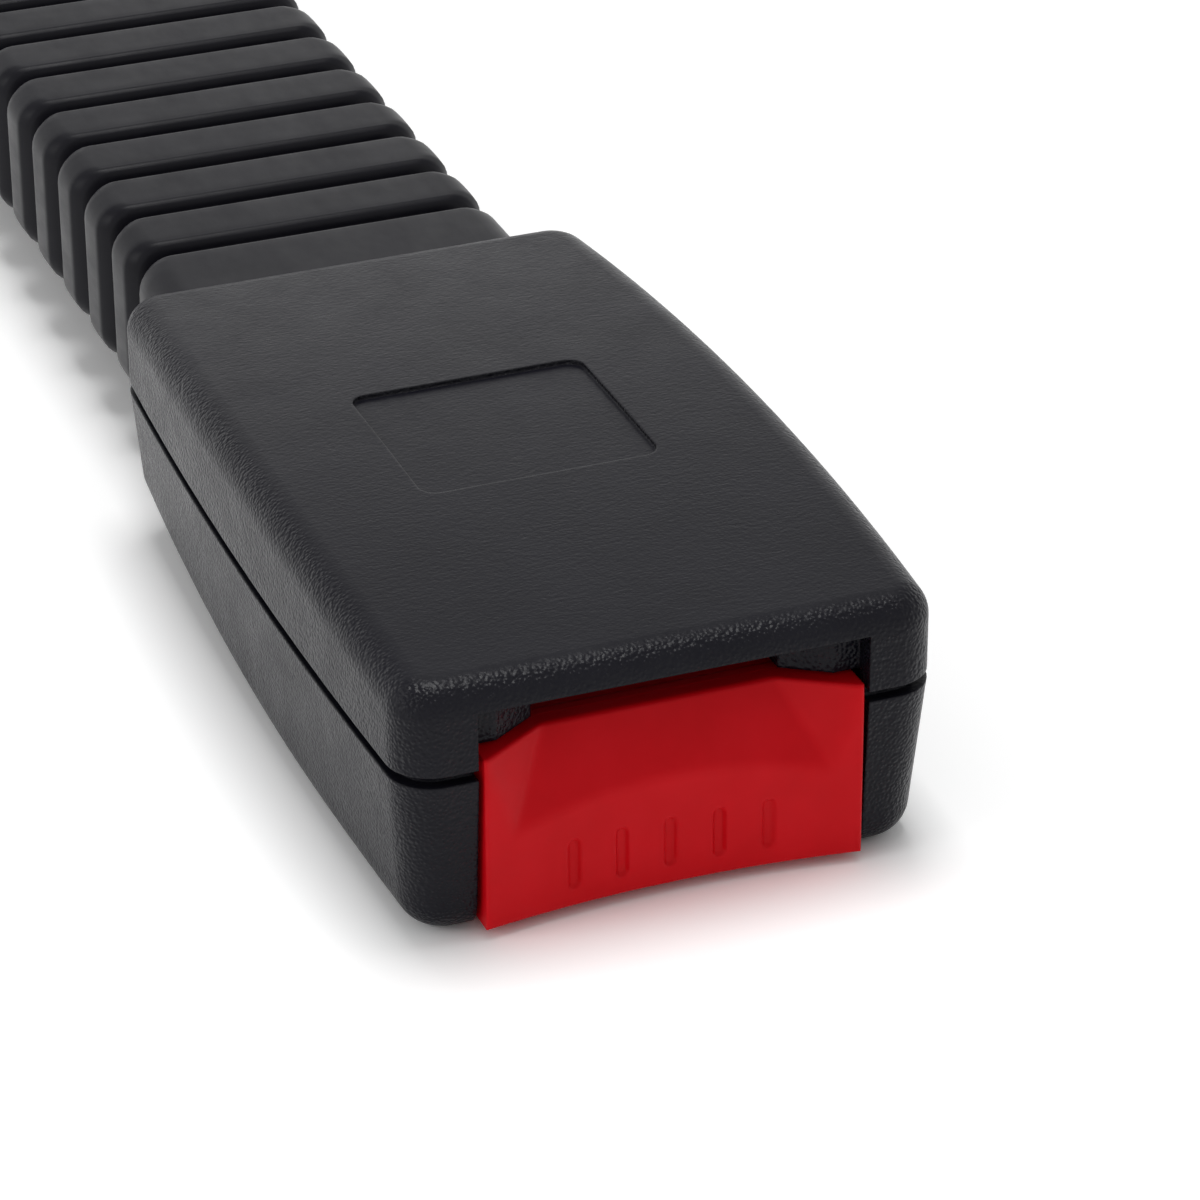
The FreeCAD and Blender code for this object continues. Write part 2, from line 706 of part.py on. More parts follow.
def web_guard(loop_y, far_y, thickness):
    """Plastic channel over a steel bar, rounded where the webbing turns."""
    outer = thickness / 2 + guard_thickness
    middle = web_plane
    away = 1 if far_y > loop_y else -1
    edge_y = loop_y - away * thickness / 2
    arc = Part.Arc(V(0, loop_y, middle + outer), V(0, loop_y - away * outer, middle),
                   V(0, loop_y, middle - outer)).toShape()
    corners = [V(0, loop_y, middle - outer), V(0, far_y, middle - outer), V(0, far_y, middle - thickness / 2),
               V(0, edge_y, middle - thickness / 2), V(0, edge_y, middle + thickness / 2),
               V(0, far_y, middle + thickness / 2), V(0, far_y, middle + outer), V(0, loop_y, middle + outer)]
    face = Part.Face(Part.Wire([arc, *Part.makePolygon(corners).Edges]))
    half = webbing_width / 2 - sheet / 2
    face.translate(V(-half, 0, 0))
    return face.extrude(V(2 * half, 0, 0))


def web_loop(loop_y, flat_y, join_y, half_inner, half_outer):
    """Teardrop between a bar and the place where the two plies meet."""
    away = 1 if join_y > loop_y else -1
    solids = []
    for radius, joined in ((half_outer, webbing_ply + webbing_gap / 2), (half_inner, webbing_gap / 2)):
        arc = Part.Arc(V(0, loop_y, web_plane + radius), V(0, loop_y - away * radius, web_plane),
                       V(0, loop_y, web_plane - radius)).toShape()
        corners = [V(0, loop_y, web_plane - radius), V(0, flat_y, web_plane - radius),
                   V(0, join_y, web_plane - joined), V(0, join_y, web_plane + joined),
                   V(0, flat_y, web_plane + radius), V(0, loop_y, web_plane + radius)]
        face = Part.Face(Part.Wire([arc, *Part.makePolygon(corners).Edges]))
        face.translate(V(-webbing_width / 2, 0, 0))
        solids.append(face.extrude(V(webbing_width, 0, 0)))
    return solids[0].cut(solids[1])


def web_joins():
    """Where the plies come together behind the frame and in front of the tongue."""
    return web_bar_end + web_joining_run, tongue_start - web_joining_run


def make_webbing():
    """One strip with a loop at each end and two plies between them."""
    near, far = web_joins()
    outer = loop_inner + webbing_ply
    tongue_inner = loop_inner + (tongue_thickness - sheet) / 2
    front = web_loop(front_loop_y, web_bar_end + fit_gap, near, loop_inner, outer)
    rear = web_loop(rear_loop_y, tongue_start - fit_gap, far, tongue_inner, tongue_inner + webbing_ply)
    ply_half = webbing_ply + webbing_gap / 2
    straight = across(webbing_width / 2, (near, far), (web_plane - ply_half, web_plane + ply_half))
    return join(straight, front, rear)


def make_stitching(start):
    """Rows of thread on both faces of the webbing."""
    surface = webbing_ply + webbing_gap / 2
    rows = []
    for row in range(stitch_rows):
        y = start + row * stitch_pitch
        for z in (web_plane + surface, web_plane - surface - stitch_rise):
            rows.append(across(stitch_length / 2, (y, y + stitch_thickness), (z, z + stitch_rise)))
    return Part.makeCompound(rows)


def sleeve_rib(y_span):
    """One rib of the sleeve, with sloped shoulders beside the grooves."""
    bar = sleeve_prism(0, y_span)
    beside = [y for y in y_span if sleeve_start + same < y < sleeve_end - same]
    shoulders = [edge for edge in bar.Edges
                 if any(abs(vertex.Point.y - y) < same for y in beside for vertex in edge.Vertexes[:1])
                 and edge.BoundBox.YLength < same * 10]
    return bar.makeChamfer(rib_shoulder, shoulders)


def make_sleeve():
    """Ribbed boot: a rounded tube with ribs round it and ears at both ends."""
    core = sleeve_prism(groove_depth, (sleeve_start, sleeve_end), groove_corner_radius)
    groove_starts = [housing_length + sleeve_neck + index * rib_pitch for index in range(rib_count)]
    rib_starts = [sleeve_start] + [start + groove_width for start in groove_starts]
    ribs = [sleeve_rib(span) for span in zip(rib_starts, groove_starts + [sleeve_end])]
    ear_z_span = (sleeve_ear_low, sleeve_ear_high)
    rear_ear = grip_start + grip_wall + slide_gap
    ears = [across(sleeve_half + sleeve_ear, span, ear_z_span)
            for span in ((sleeve_start, sleeve_start + sleeve_ear_length),
                         (rear_ear, rear_ear + sleeve_ear_length))]
    bore = sleeve_prism(sleeve_wall, (sleeve_start - beyond, sleeve_end + beyond),
                        groove_corner_radius - (sleeve_wall - groove_depth))
    return join(core, *ribs, *ears).cut(bore)


def make_tongue_plate():
    """Steel plate: wide base with the webbing slot, tapering to the blade with its latch window."""
    base_half = frame_tab_width / 2
    blade_half = tongue_width / 2
    taper_end = tongue_shoulder + tongue_taper_length
    right = [V(base_half, tongue_start, 0), V(base_half, tongue_shoulder, 0), V(blade_half, taper_end, 0),
             V(blade_half, tongue_tip, 0)]
    outline = right + [V(-point.x, point.y, 0) for point in reversed(right)]
    plate = Part.Face(Part.makePolygon(outline + outline[:1])).extrude(V(0, 0, tongue_thickness))
    plate.translate(V(0, 0, tongue_plate_low))
    upright = V(0, 0, 1)
    plate = plate.makeFillet(tongue_tip_radius, edges_along(plate, upright, lambda m: m.y > grip_end))
    plate = plate.makeFillet(sheet, edges_along(plate, upright, lambda m: m.y < taper_end - overlap))
    z_span = (tongue_plate_low - overlap, tongue_plate_top + overlap)
    slot = across(web_slot_half, (tongue_bar_end, tongue_slot_end), z_span)
    window_end = tongue_tip - tongue_tip_bar
    window = across(tongue_window_width / 2, (window_end - tongue_window_length, window_end), z_span)
    cuts = [shape.makeFillet(sheet / 2, edges_along(shape, upright)) for shape in (slot, window)]
    return plate.cut(cuts)


def grip_block(inset):
    """Form of the grip: a deep collar that tapers to the blade, moved in by an inset."""
    widths = [w - 2 * inset for w in (grip_collar_width, grip_middle_width, grip_end_width)]
    outline = bulged_outline(widths, (grip_start + inset, grip_end - inset), 0)
    plan = Part.Face(outline).extrude(V(0, 0, tall))
    plan = plan.makeFillet(max(grip_corner_radius - inset, least_radius), edges_along(plan, V(0, 0, 1)))
    thin = grip_end_thickness / 2 - inset
    foot_end = grip_start + grip_foot
    points = [
        (grip_start - beyond, inset), (foot_end, inset), (grip_end, web_plane - thin),
        (grip_end + beyond, web_plane - thin), (grip_end + beyond, web_plane + thin),
        (grip_end, web_plane + thin), (foot_end, grip_height - inset), (grip_start - beyond, grip_height - inset),
    ]
    side = profile_yz(points, -grip_collar_width, grip_collar_width)
    return plan.common(side)


def grip_shell():
    """Hollow grip before it is split into its two halves."""
    outside = grip_block(0)
    outer = [face for face in outside.Faces if abs(face.normalAt(0.5, 0.5).z) > 0.6]
    outside = outside.makeFillet(grip_edge_radius, rim_edges(outer))
    chamber = grip_block(grip_wall).common(
        across(grip_collar_width, (grip_start, grip_start + grip_chamber), (0, tall)))
    shell = outside.cut([chamber, sleeve_prism(-fit_gap, (grip_start - beyond, sleeve_end + slide_gap))])
    rib_start = tongue_slot_end + sheet
    rib = box((tongue_width / 2 - grip_rib_width, tongue_width / 2), (rib_start, grip_start + grip_chamber + overlap),
              (grip_wall / 2, grip_height - grip_wall / 2)).common(outside)
    shell = join(shell, pair(rib))
    taper_end = tongue_shoulder + tongue_taper_length
    pocket = across(tongue_width / 2 + fit_gap, (tongue_slot_end, grip_end + beyond),
                    (tongue_plate_low - plate_clearance, tongue_plate_top + plate_clearance))
    shoulder = across(frame_tab_width / 2 + fit_gap, (tongue_slot_end, taper_end + fit_gap),
                      (tongue_plate_low - plate_clearance, tongue_plate_top + plate_clearance))
    return shell.cut([pocket, shoulder])


def grip_pins(radius, z_span):
    """Two upright pins that line up the halves of the grip."""
    height = z_span[1] - z_span[0]
    spots = [V(x, grip_start + grip_pin_y, z_span[0]) for x in (-grip_pin_x, grip_pin_x)]
    return Part.makeCompound([Part.makeCylinder(radius, height, spot) for spot in spots])


def make_grip_lower():
    """Lower half of the grip, with its foot and locating pins."""
    shell = grip_shell()
    half = shell.common(across(grip_collar_width, (grip_start - overlap, grip_end + overlap),
                               (-overlap, web_plane - grip_split / 2)))
    pins = grip_pins(post_radius, (web_plane - grip_pin_reach, web_plane + grip_pin_reach))
    return join(half, pins)


def make_grip_upper():
    """Upper half of the grip, with the holes for the pins."""
    shell = grip_shell()
    half = shell.common(across(grip_collar_width, (grip_start - overlap, grip_end + overlap),
                               (web_plane + grip_split / 2, tall)))
    return half.cut(grip_pins(post_radius + post_clearance,
                              (web_plane - overlap, web_plane + grip_pin_reach + fit_gap)))


def build_pieces():
    """Every piece by name, in the order of assembly."""
    near, far = web_joins()
    seam = stitch_rows * stitch_pitch
    return {
        "lower_cover": make_lower_cover(),
        "buckle_frame": make_frame(),
        "latch_plate": make_latch(),
        "latch_pin": make_latch_pin(),
        "latch_pin_clip": make_latch_pin_clip(),
        "latch_spring": make_latch_spring(),
        "ejector": make_ejector(),
        "ejector_spring": make_ejector_spring(),
        "press_button": make_press_button(),
        "button_spring_left": make_button_spring(-1),
        "button_spring_right": make_button_spring(1),
        "frame_web_guard": web_guard(front_loop_y, web_bar_end, sheet),
        "webbing": make_webbing(),
        "front_stitching": make_stitching(near + fit_gap),
        "rear_stitching": make_stitching(far - seam),
        "sleeve": make_sleeve(),
        "upper_cover": make_upper_cover(),
        "tongue_web_guard": web_guard(rear_loop_y, tongue_start, tongue_thickness),
        "tongue_plate": make_tongue_plate(),
        "grip_lower": make_grip_lower(),
        "grip_upper": make_grip_upper(),
    }


def main():
    """Move every piece to the middle of the base and write it."""
    os.makedirs("parts", exist_ok=True)
    for name, shape in build_pieces().items():
        shape.translate(V(0, -base_middle, 0))
        shape.exportStep(os.path.join("parts", name + ".step"))
        print(name, "solids", len(shape.Solids), "volume", round(shape.Volume, 1), "valid", shape.isValid())
    print("front face at y", round(-base_middle, 3), "tongue tip at y", round(tongue_tip - base_middle, 3))


main()
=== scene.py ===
"""Looks of a seat belt extender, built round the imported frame.

Everything is in metres in the frame's own axes: X across the buckle, Y from the button to the
tongue, Z up. MM turns the sizes below, which are given in millimetres, into metres.
"""

import logging
import math
from dataclasses import dataclass
from enum import Enum

import bmesh
import bpy
from mathutils import Matrix, Vector


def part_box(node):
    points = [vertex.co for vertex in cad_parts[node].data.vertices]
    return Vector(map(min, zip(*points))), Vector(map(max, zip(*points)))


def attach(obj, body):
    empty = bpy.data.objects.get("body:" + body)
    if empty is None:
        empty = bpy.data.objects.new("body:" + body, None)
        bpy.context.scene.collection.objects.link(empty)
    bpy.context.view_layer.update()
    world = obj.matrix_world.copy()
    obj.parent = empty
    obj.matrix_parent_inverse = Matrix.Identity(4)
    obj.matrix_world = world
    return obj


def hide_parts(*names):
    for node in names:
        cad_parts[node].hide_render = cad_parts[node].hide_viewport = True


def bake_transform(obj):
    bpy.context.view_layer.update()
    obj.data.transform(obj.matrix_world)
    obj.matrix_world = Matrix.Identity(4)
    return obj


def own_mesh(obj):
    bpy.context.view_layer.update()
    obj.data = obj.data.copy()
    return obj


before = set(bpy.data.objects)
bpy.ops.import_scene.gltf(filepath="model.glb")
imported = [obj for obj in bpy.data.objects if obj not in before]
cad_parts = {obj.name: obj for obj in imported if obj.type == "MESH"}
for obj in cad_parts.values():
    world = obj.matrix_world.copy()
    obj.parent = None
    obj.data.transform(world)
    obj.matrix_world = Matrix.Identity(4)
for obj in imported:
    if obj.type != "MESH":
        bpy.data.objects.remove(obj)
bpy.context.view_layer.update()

log = logging.getLogger("extender")

MM = 0.001
Colour = tuple[float, float, float]
Point = tuple[float, float, float]
Pair = tuple[float, float]
Socket = bpy.types.NodeSocket


class Body(Enum):
    """Bodies of the frame that pieces ride on."""

    HOUSING = "housing"
    BUTTON = "button"
    LATCH = "latch"
    EJECTOR = "ejector"
    TONGUE = "tongue"


class Joint(Enum):
    """Joints that squeeze a spring."""

    BUTTON = "button_press"
    LATCH = "latch_swing"
    EJECTOR = "ejector_slide"


class Way(Enum):
    """Direction in which a spring is wound, as two axes across it and one along it."""

    ALONG = ((1, 0, 0), (0, 0, 1), (0, 1, 0))
    UPWARD = ((1, 0, 0), (0, 1, 0), (0, 0, 1))


# Node trees


class Graph:
    """A node tree, with the few steps that the finishes and the sky share."""

    def __init__(self, tree: bpy.types.NodeTree) -> None:
        """Start with an empty tree."""
        tree.nodes.clear()
        self.tree = tree

    def add(self, kind: str, **settings: object) -> bpy.types.Node:
        """Add one node.

        Args:
            kind: Blender's name for the node type.
            settings: attributes of the node, such as its operation.

        Returns:
            The new node.
        """
        node = self.tree.nodes.new(kind)
        for key, value in settings.items():
            setattr(node, key, value)
        return node

    def join(self, source: Socket, target: Socket) -> None:
        """Link an output to an input."""
        self.tree.links.new(source, target)

    def span(self, value: Socket, source: Pair, target: Pair, shape: str = "LINEAR") -> Socket:
        """Move a value from one range to another, held at the ends.

        Args:
            value: the value to move.
            source: lowest and highest value that come in.
            target: lowest and highest value that go out.
            shape: Blender's name for the way between the ends.

        Returns:
            The moved value.
        """
        node = self.add("ShaderNodeMapRange", interpolation_type=shape)
        for key, number in zip(("From Min", "From Max", "To Min", "To Max"), (*source, *target)):
            node.inputs[key].default_value = number
        self.join(value, node.inputs["Value"])
        return node.outputs["Result"]

    def maths(self, operation: str, first: Socket, second: Socket | float) -> Socket:
        """Combine two values.

        Args:
            operation: Blender's name for the operation.
            first: the first value.
            second: the second value or a constant.

        Returns:
            The result.
        """
        node = self.add("ShaderNodeMath", operation=operation)
        self.join(first, node.inputs[0])
        if isinstance(second, Socket):
            self.join(second, node.inputs[1])
        else:
            node.inputs[1].default_value = second
        return node.outputs["Value"]

    def mixed(self, share: Socket, first: Socket, second: Socket) -> Socket:
        """Mix two surfaces.

        Args:
            share: share of the second.
            first: surface at 0.
            second: surface at 1.

        Returns:
            The mixed surface.
        """
        mix = self.add("ShaderNodeMixShader")
        for place, source in enumerate((share, first, second)):
            self.join(source, mix.inputs[place])
        return mix.outputs["Shader"]

    def seen_directly(self) -> Socket:
        """Tell the camera's rays from those that only light the object.

        Returns:
            1 for what the camera sees, straight or by way of metal or glass, and 0 otherwise.
        """
        path = self.add("ShaderNodeLightPath")
        seen = path.outputs["Is Camera Ray"]
        for kind in ("Is Glossy Ray", "Is Transmission Ray"):
            seen = self.maths("MAXIMUM", seen, path.outputs[kind])
        return seen


class Shader(Graph):
    """One material's node tree, with the steps that finishes are made of."""

    def __init__(self, name: str) -> None:
        """Start an empty material.

        Args:
            name: the material's name.
        """
        self.material = bpy.data.materials.new(name)
        self.material.use_nodes = True
        super().__init__(self.material.node_tree)
        self.output = self.add("ShaderNodeOutputMaterial")
        self.surface = self.add("ShaderNodeBsdfPrincipled")
        self.join(self.surface.outputs["BSDF"], self.output.inputs["Surface"])
        self.place = self.add("ShaderNodeTexCoord").outputs["Object"]

    def fix(self, **values: object) -> None:
        """Set constants on the surface's own sockets.

        Args:
            values: socket names with underscores for spaces, and their values.
        """
        for key, value in values.items():
            self.surface.inputs[key.replace("_", " ")].default_value = value

    def feed(self, socket: str, value: Socket) -> None:
        """Drive one socket of the surface."""
        self.join(value, self.surface.inputs[socket])

    def stretched(self, scale: Point, place: Socket | None = None) -> Socket:
        """Scaled coordinates.

        Args:
            scale: factor along X, Y and Z.
            place: coordinates, or none for the object's own.

        Returns:
            The scaled coordinates.
        """
        node = self.add("ShaderNodeMapping")
        node.inputs["Scale"].default_value = scale
        self.join(place or self.place, node.inputs["Vector"])
        return node.outputs["Vector"]

    def noise(self, size: float, detail: float = 3.0, rough: float = 0.5,
              place: Socket | None = None) -> Socket:
        """Cloudy pattern from 0 to 1.

        Args:
            size: width of one cloud, in metres.
            detail: number of finer layers.
            rough: strength of the finer layers.
            place: coordinates, or none for the object's own.

        Returns:
            The pattern's value.
        """
        node = self.add("ShaderNodeTexNoise")
        node.inputs["Scale"].default_value = 1 / size
        node.inputs["Detail"].default_value = detail
        node.inputs["Roughness"].default_value = rough
        self.join(place or self.place, node.inputs["Vector"])
        return node.outputs["Fac"]

    def cells(self, size: float) -> Socket:
        """Pattern of irregular cells with soft borders.

        Args:
            size: width of one cell, in metres.

        Returns:
            Distance from the middle of the nearest cell.
        """
        node = self.add("ShaderNodeTexVoronoi", feature="SMOOTH_F1")
        node.inputs["Scale"].default_value = 1 / size
        self.join(self.place, node.inputs["Vector"])
        return node.outputs["Distance"]

    def wandering(self, size: float, reach: float) -> Socket:
        """Object coordinates pushed about by noise, so that cells lose their straight edges.

        Args:
            size: width of the noise's clouds, in metres.
            reach: how far a point is pushed, in metres.

        Returns:
            The pushed coordinates.
        """
        noise = self.add("ShaderNodeTexNoise")
        noise.inputs["Scale"].default_value = 1 / size
        self.join(self.place, noise.inputs["Vector"])
        push = self.add("ShaderNodeVectorMath", operation="MULTIPLY_ADD")
        push.inputs[1].default_value = (reach, reach, reach)
        self.join(noise.outputs["Color"], push.inputs[0])
        self.join(self.place, push.inputs[2])
        return push.outputs["Vector"]

    def blend(self, amount: Socket, first: Colour, second: Colour) -> Socket:
        """Mix two colours by a pattern.

        Args:
            amount: 0 for the first colour and 1 for the second.
            first: colour at 0.
            second: colour at 1.

        Returns:
            The mixed colour.
        """
        node = self.add("ShaderNodeMix", data_type="RGBA")
        for socket, colour in ((node.inputs[6], first), (node.inputs[7], second)):
            socket.default_value = (*colour, 1)
        self.join(amount, node.inputs["Factor"])
        return node.outputs[2]

    def tinted(self, pattern: Socket, limits: Pair, first: Colour, second: Colour) -> None:
        """Colour the surface by a pattern, from the first colour to the second."""
        self.feed("Base Color", self.blend(self.span(pattern, limits, (0, 1)), first, second))

    def rounded_edges(self, radius: float) -> Socket:
        """Surface direction that turns smoothly over hard edges.

        Args:
            radius: radius of the rounding, in metres.

        Returns:
            The direction.
        """
        node = self.add("ShaderNodeBevel", samples=6)
        node.inputs["Radius"].default_value = radius
        return node.outputs["Normal"]

    def relief(self, height: Socket, depth: float, under: Socket | None = None) -> Socket:
        """Raise the surface by a pattern.

        Args:
            height: the pattern, from 0 to 1.
            depth: height of the relief, in metres.
            under: direction of the surface below, or none for the mesh's own.

        Returns:
            The new direction.
        """
        node = self.add("ShaderNodeBump")
        node.inputs["Distance"].default_value = depth
        self.join(height, node.inputs["Height"])
        if under is not None:
            self.join(under, node.inputs["Normal"])
        return node.outputs["Normal"]


# Finishes


@dataclass(frozen=True)
class GrainedPlastic:
    """Moulded plastic with creases on its flat faces and a coarser tooth on walls and edges."""

    name: str
    tint: Colour
    lighter: Colour
    gloss: Pair
    island: float
    crease_depth: float
    tooth: float
    tooth_depth: float
    edge_radius: float
    specular: float

    def paint(self, shader: Shader) -> None:
        """Add the nodes of this finish.

        Args:
            shader: the material's tree.
        """
        cloudy = shader.noise(9 * MM, detail=4.0, rough=0.6)
        shader.tinted(cloudy, (0.3, 0.7), self.tint, self.lighter)
        steepness = self.steepness(shader)
        base = shader.rounded_edges(self.edge_radius)
        place = shader.wandering(3 * self.island, 1.2 * self.island)
        place = shader.stretched((0.45, 1.0, 1.0), place)
        creases = shader.noise(self.island, rough=0.65, place=place)
        direction = shader.relief(creases, self.crease_depth, base)
        cells = shader.span(shader.cells(self.tooth), (0.0, 0.8), (1, 0))
        tooth = shader.maths("MULTIPLY", cells, steepness)
        shader.feed("Normal", shader.relief(tooth, self.tooth_depth, direction))
        patches = shader.maths("MULTIPLY", shader.noise(5 * MM, detail=4.0), creases)
        shader.feed("Roughness", shader.span(patches, (0.12, 0.4), self.gloss))
        shader.fix(Specular_IOR_Level=self.specular)

    def steepness(self, shader: Shader) -> Socket:
        """Tell walls from faces that lie flat.

        Args:
            shader: the material's tree.

        Returns:
            1 on walls and rounded edges, and little on flat faces.
        """
        split = shader.add("ShaderNodeSeparateXYZ")
        shader.join(shader.add("ShaderNodeTexCoord").outputs["Normal"], split.inputs["Vector"])
        upward = shader.maths("ABSOLUTE", split.outputs["Z"], 0.0)
        return shader.span(upward, (0.8, 0.985), (1.0, 0.12))


@dataclass(frozen=True)
class SmoothPlastic:
    """Moulded plastic without a grain: faint flow marks, a soft sheen and fine handling marks."""

    name: str
    tint: Colour
    lighter: Colour
    gloss: Pair
    flow: float
    flow_depth: float
    edge_radius: float
    specular: float
    inner_glow: float = 0.0

    def paint(self, shader: Shader) -> None:
        """Add the nodes of this finish.

        Args:
            shader: the material's tree.
        """
        cloudy = shader.noise(6 * MM, detail=4.0, rough=0.55)
        shader.tinted(cloudy, (0.3, 0.7), self.tint, self.lighter)
        base = shader.rounded_edges(self.edge_radius)
        waves = shader.noise(self.flow, detail=2.0, rough=0.4)
        broad = shader.relief(waves, self.flow_depth, base)
        fine = shader.noise(0.12 * MM, detail=2.0, rough=0.6)
        shader.feed("Normal", shader.relief(fine, self.flow_depth * 0.06, broad))
        place = shader.stretched((1.0, 0.35, 1.0))
        scuffs = shader.noise(3 * MM, detail=5.0, rough=0.65, place=place)
        shader.feed("Roughness", shader.span(scuffs, (0.3, 0.7), self.gloss))
        shader.fix(Specular_IOR_Level=self.specular)
        if self.inner_glow:
            shader.fix(Subsurface_Weight=self.inner_glow, Subsurface_Scale=0.6 * MM,
                       Subsurface_Radius=(1.0, 0.15, 0.1))


@dataclass(frozen=True)
class WorkedMetal:
    """Metal with lines from rolling or drawing, clouded plating and rounded edges."""

    name: str
    tint: Colour
    darker: Colour
    gloss: Pair
    lines: Point
    line_depth: float
    edge_radius: float

    def paint(self, shader: Shader) -> None:
        """Add the nodes of this finish.

        Args:
            shader: the material's tree.
        """
        plating = shader.noise(5 * MM, detail=4.0, rough=0.6)
        shader.tinted(plating, (0.35, 0.7), self.tint, self.darker)
        drawn = shader.noise(0.18 * MM, rough=0.7, place=shader.stretched(self.lines))
        base = shader.rounded_edges(self.edge_radius)
        shader.feed("Normal", shader.relief(drawn, self.line_depth, base))
        wear = shader.maths("MULTIPLY", shader.maths("ADD", drawn, plating), 0.5)
        shader.feed("Roughness", shader.span(wear, (0.35, 0.65), self.gloss))
        shader.fix(Metallic=1.0)


@dataclass(frozen=True)
class WovenBelt:
    """Polyester webbing: cords that run along it, crossed by picks, with painted shade in the weave's
    hollows and a dull sheen.
    """

    name: str
    tint: Colour
    lighter: Colour
    cord: float
    pick: float
    depth: float

    def paint(self, shader: Shader) -> None:
        """Add the nodes of this finish.

        Args:
            shader: the material's tree.
        """
        cords = shader.add("ShaderNodeTexWave", bands_direction="X")
        picks = shader.add("ShaderNodeTexWave", bands_direction="Y")
        for wave, size in ((cords, self.cord), (picks, self.pick)):
            wave.inputs["Scale"].default_value = math.pi / (10 * size)
            wave.inputs["Distortion"].default_value = 0.6
            wave.inputs["Detail Scale"].default_value = 2.0
            shader.join(shader.place, wave.inputs["Vector"])
        woven = shader.maths("MULTIPLY", cords.outputs["Fac"], picks.outputs["Fac"])
        place = shader.stretched((1.0, 0.2, 1.0))
        fibres = shader.noise(0.08 * MM, detail=2.0, rough=0.6, place=place)
        height = shader.maths("ADD", woven, shader.maths("MULTIPLY", fibres, 0.3))
        # Painted shade: the colour follows the weave's height, darker in the hollows between cords
        # and picks and paler on the raised cords.
        shader.tinted(height, (0.1, 1.0), self.tint, self.lighter)
        shader.feed("Normal", shader.relief(height, self.depth))
        shader.feed("Roughness", shader.span(fibres, (0.3, 0.7), (0.7, 0.95)))
        shader.fix(Sheen_Weight=0.3, Specular_IOR_Level=0.3)


Finish = GrainedPlastic | SmoothPlastic | WorkedMetal | WovenBelt

COVER_GRAIN = GrainedPlastic(
    "cover_grain", tint=(0.0045, 0.0043, 0.0076), lighter=(0.0072, 0.007, 0.011),
    gloss=(0.27, 0.39), island=0.42 * MM, crease_depth=0.04 * MM, tooth=0.32 * MM,
    tooth_depth=0.11 * MM, edge_radius=0.35 * MM, specular=0.14)
SLEEVE_SATIN = SmoothPlastic(
    "sleeve_satin", tint=(0.005, 0.0048, 0.0074), lighter=(0.0075, 0.0073, 0.0105),
    gloss=(0.32, 0.44), flow=5 * MM, flow_depth=0.05 * MM, edge_radius=0.3 * MM, specular=0.13)
BUTTON_RED = SmoothPlastic(
    "button_red", tint=(0.61, 0.0015, 0.006), lighter=(0.67, 0.003, 0.009), gloss=(0.3, 0.42),
    flow=4 * MM, flow_depth=0.02 * MM, edge_radius=0.25 * MM, specular=0.12, inner_glow=0.03)
PALE_ACETAL = SmoothPlastic(
    "pale_acetal", tint=(0.62, 0.61, 0.56), lighter=(0.72, 0.71, 0.66), gloss=(0.35, 0.5),
    flow=4 * MM, flow_depth=0.02 * MM, edge_radius=0.2 * MM, specular=0.45, inner_glow=0.1)
ZINC_STEEL = WorkedMetal(
    "zinc_steel", tint=(0.56, 0.54, 0.47), darker=(0.42, 0.41, 0.37), gloss=(0.26, 0.42),
    lines=(1.0, 0.08, 1.0), line_depth=0.012 * MM, edge_radius=0.3 * MM)
DARK_STEEL = WorkedMetal(
    "dark_steel", tint=(0.32, 0.32, 0.33), darker=(0.22, 0.22, 0.23), gloss=(0.28, 0.45),
    lines=(0.1, 1.0, 1.0), line_depth=0.01 * MM, edge_radius=0.25 * MM)
SPRING_WIRE = WorkedMetal(
    "spring_wire", tint=(0.52, 0.52, 0.52), darker=(0.36, 0.36, 0.37), gloss=(0.2, 0.34),
    lines=(0.3, 0.3, 0.3), line_depth=0.006 * MM, edge_radius=0.05 * MM)
BRIGHT_PLATE = WorkedMetal(
    "bright_plate", tint=(0.5, 0.5, 0.515), darker=(0.36, 0.36, 0.375), gloss=(0.16, 0.3),
    lines=(1.0, 0.05, 1.0), line_depth=0.004 * MM, edge_radius=0.4 * MM)
BELT = WovenBelt("belt_weave", tint=(0.012, 0.012, 0.013), lighter=(0.035, 0.035, 0.038),
                 cord=0.9 * MM, pick=0.45 * MM, depth=0.08 * MM)
THREAD = WovenBelt("seam_thread", tint=(0.03, 0.03, 0.032), lighter=(0.07, 0.07, 0.075),
                   cord=0.25 * MM, pick=0.25 * MM, depth=0.03 * MM)


class Paints:
    """Builds each finish once."""

    def __init__(self) -> None:
        """Start with no materials."""
        self.made: dict[str, bpy.types.Material] = {}

    def of(self, finish: Finish) -> bpy.types.Material:
        """The material of a finish, built the first time that it is asked for.

        Args:
            finish: the finish.

        Returns:
            Its material.
        """
        if finish.name not in self.made:
            shader = Shader(finish.name)
            finish.paint(shader)
            self.made[finish.name] = shader.material
        return self.made[finish.name]

    def coat(self, piece: bpy.types.Object, finish: Finish) -> None:
        """Give a piece one finish all over."""
        piece.data.materials.clear()
        piece.data.materials.append(self.of(finish))

    def dress(self, piece: bpy.types.Object, finish: Finish, node: str, slot: str) -> None:
        """Finish a piece and let it stand for its node.

        Args:
            piece: the new piece.
            finish: its finish.
            node: the node that it replaces.
            slot: not used.
        """
        self.coat(piece, finish)
        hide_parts(node)
        log.info("built %s", piece.name)

    def coat_nodes(self, finish: Finish, *nodes: str) -> None:
        """Give carried-over nodes of the frame a finish.

        Args:
            finish: the finish.
            nodes: names of the nodes.
        """
        for name in nodes:
            self.coat(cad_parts[name], finish)
            log.info("dressed %s", name)


# Mesh building


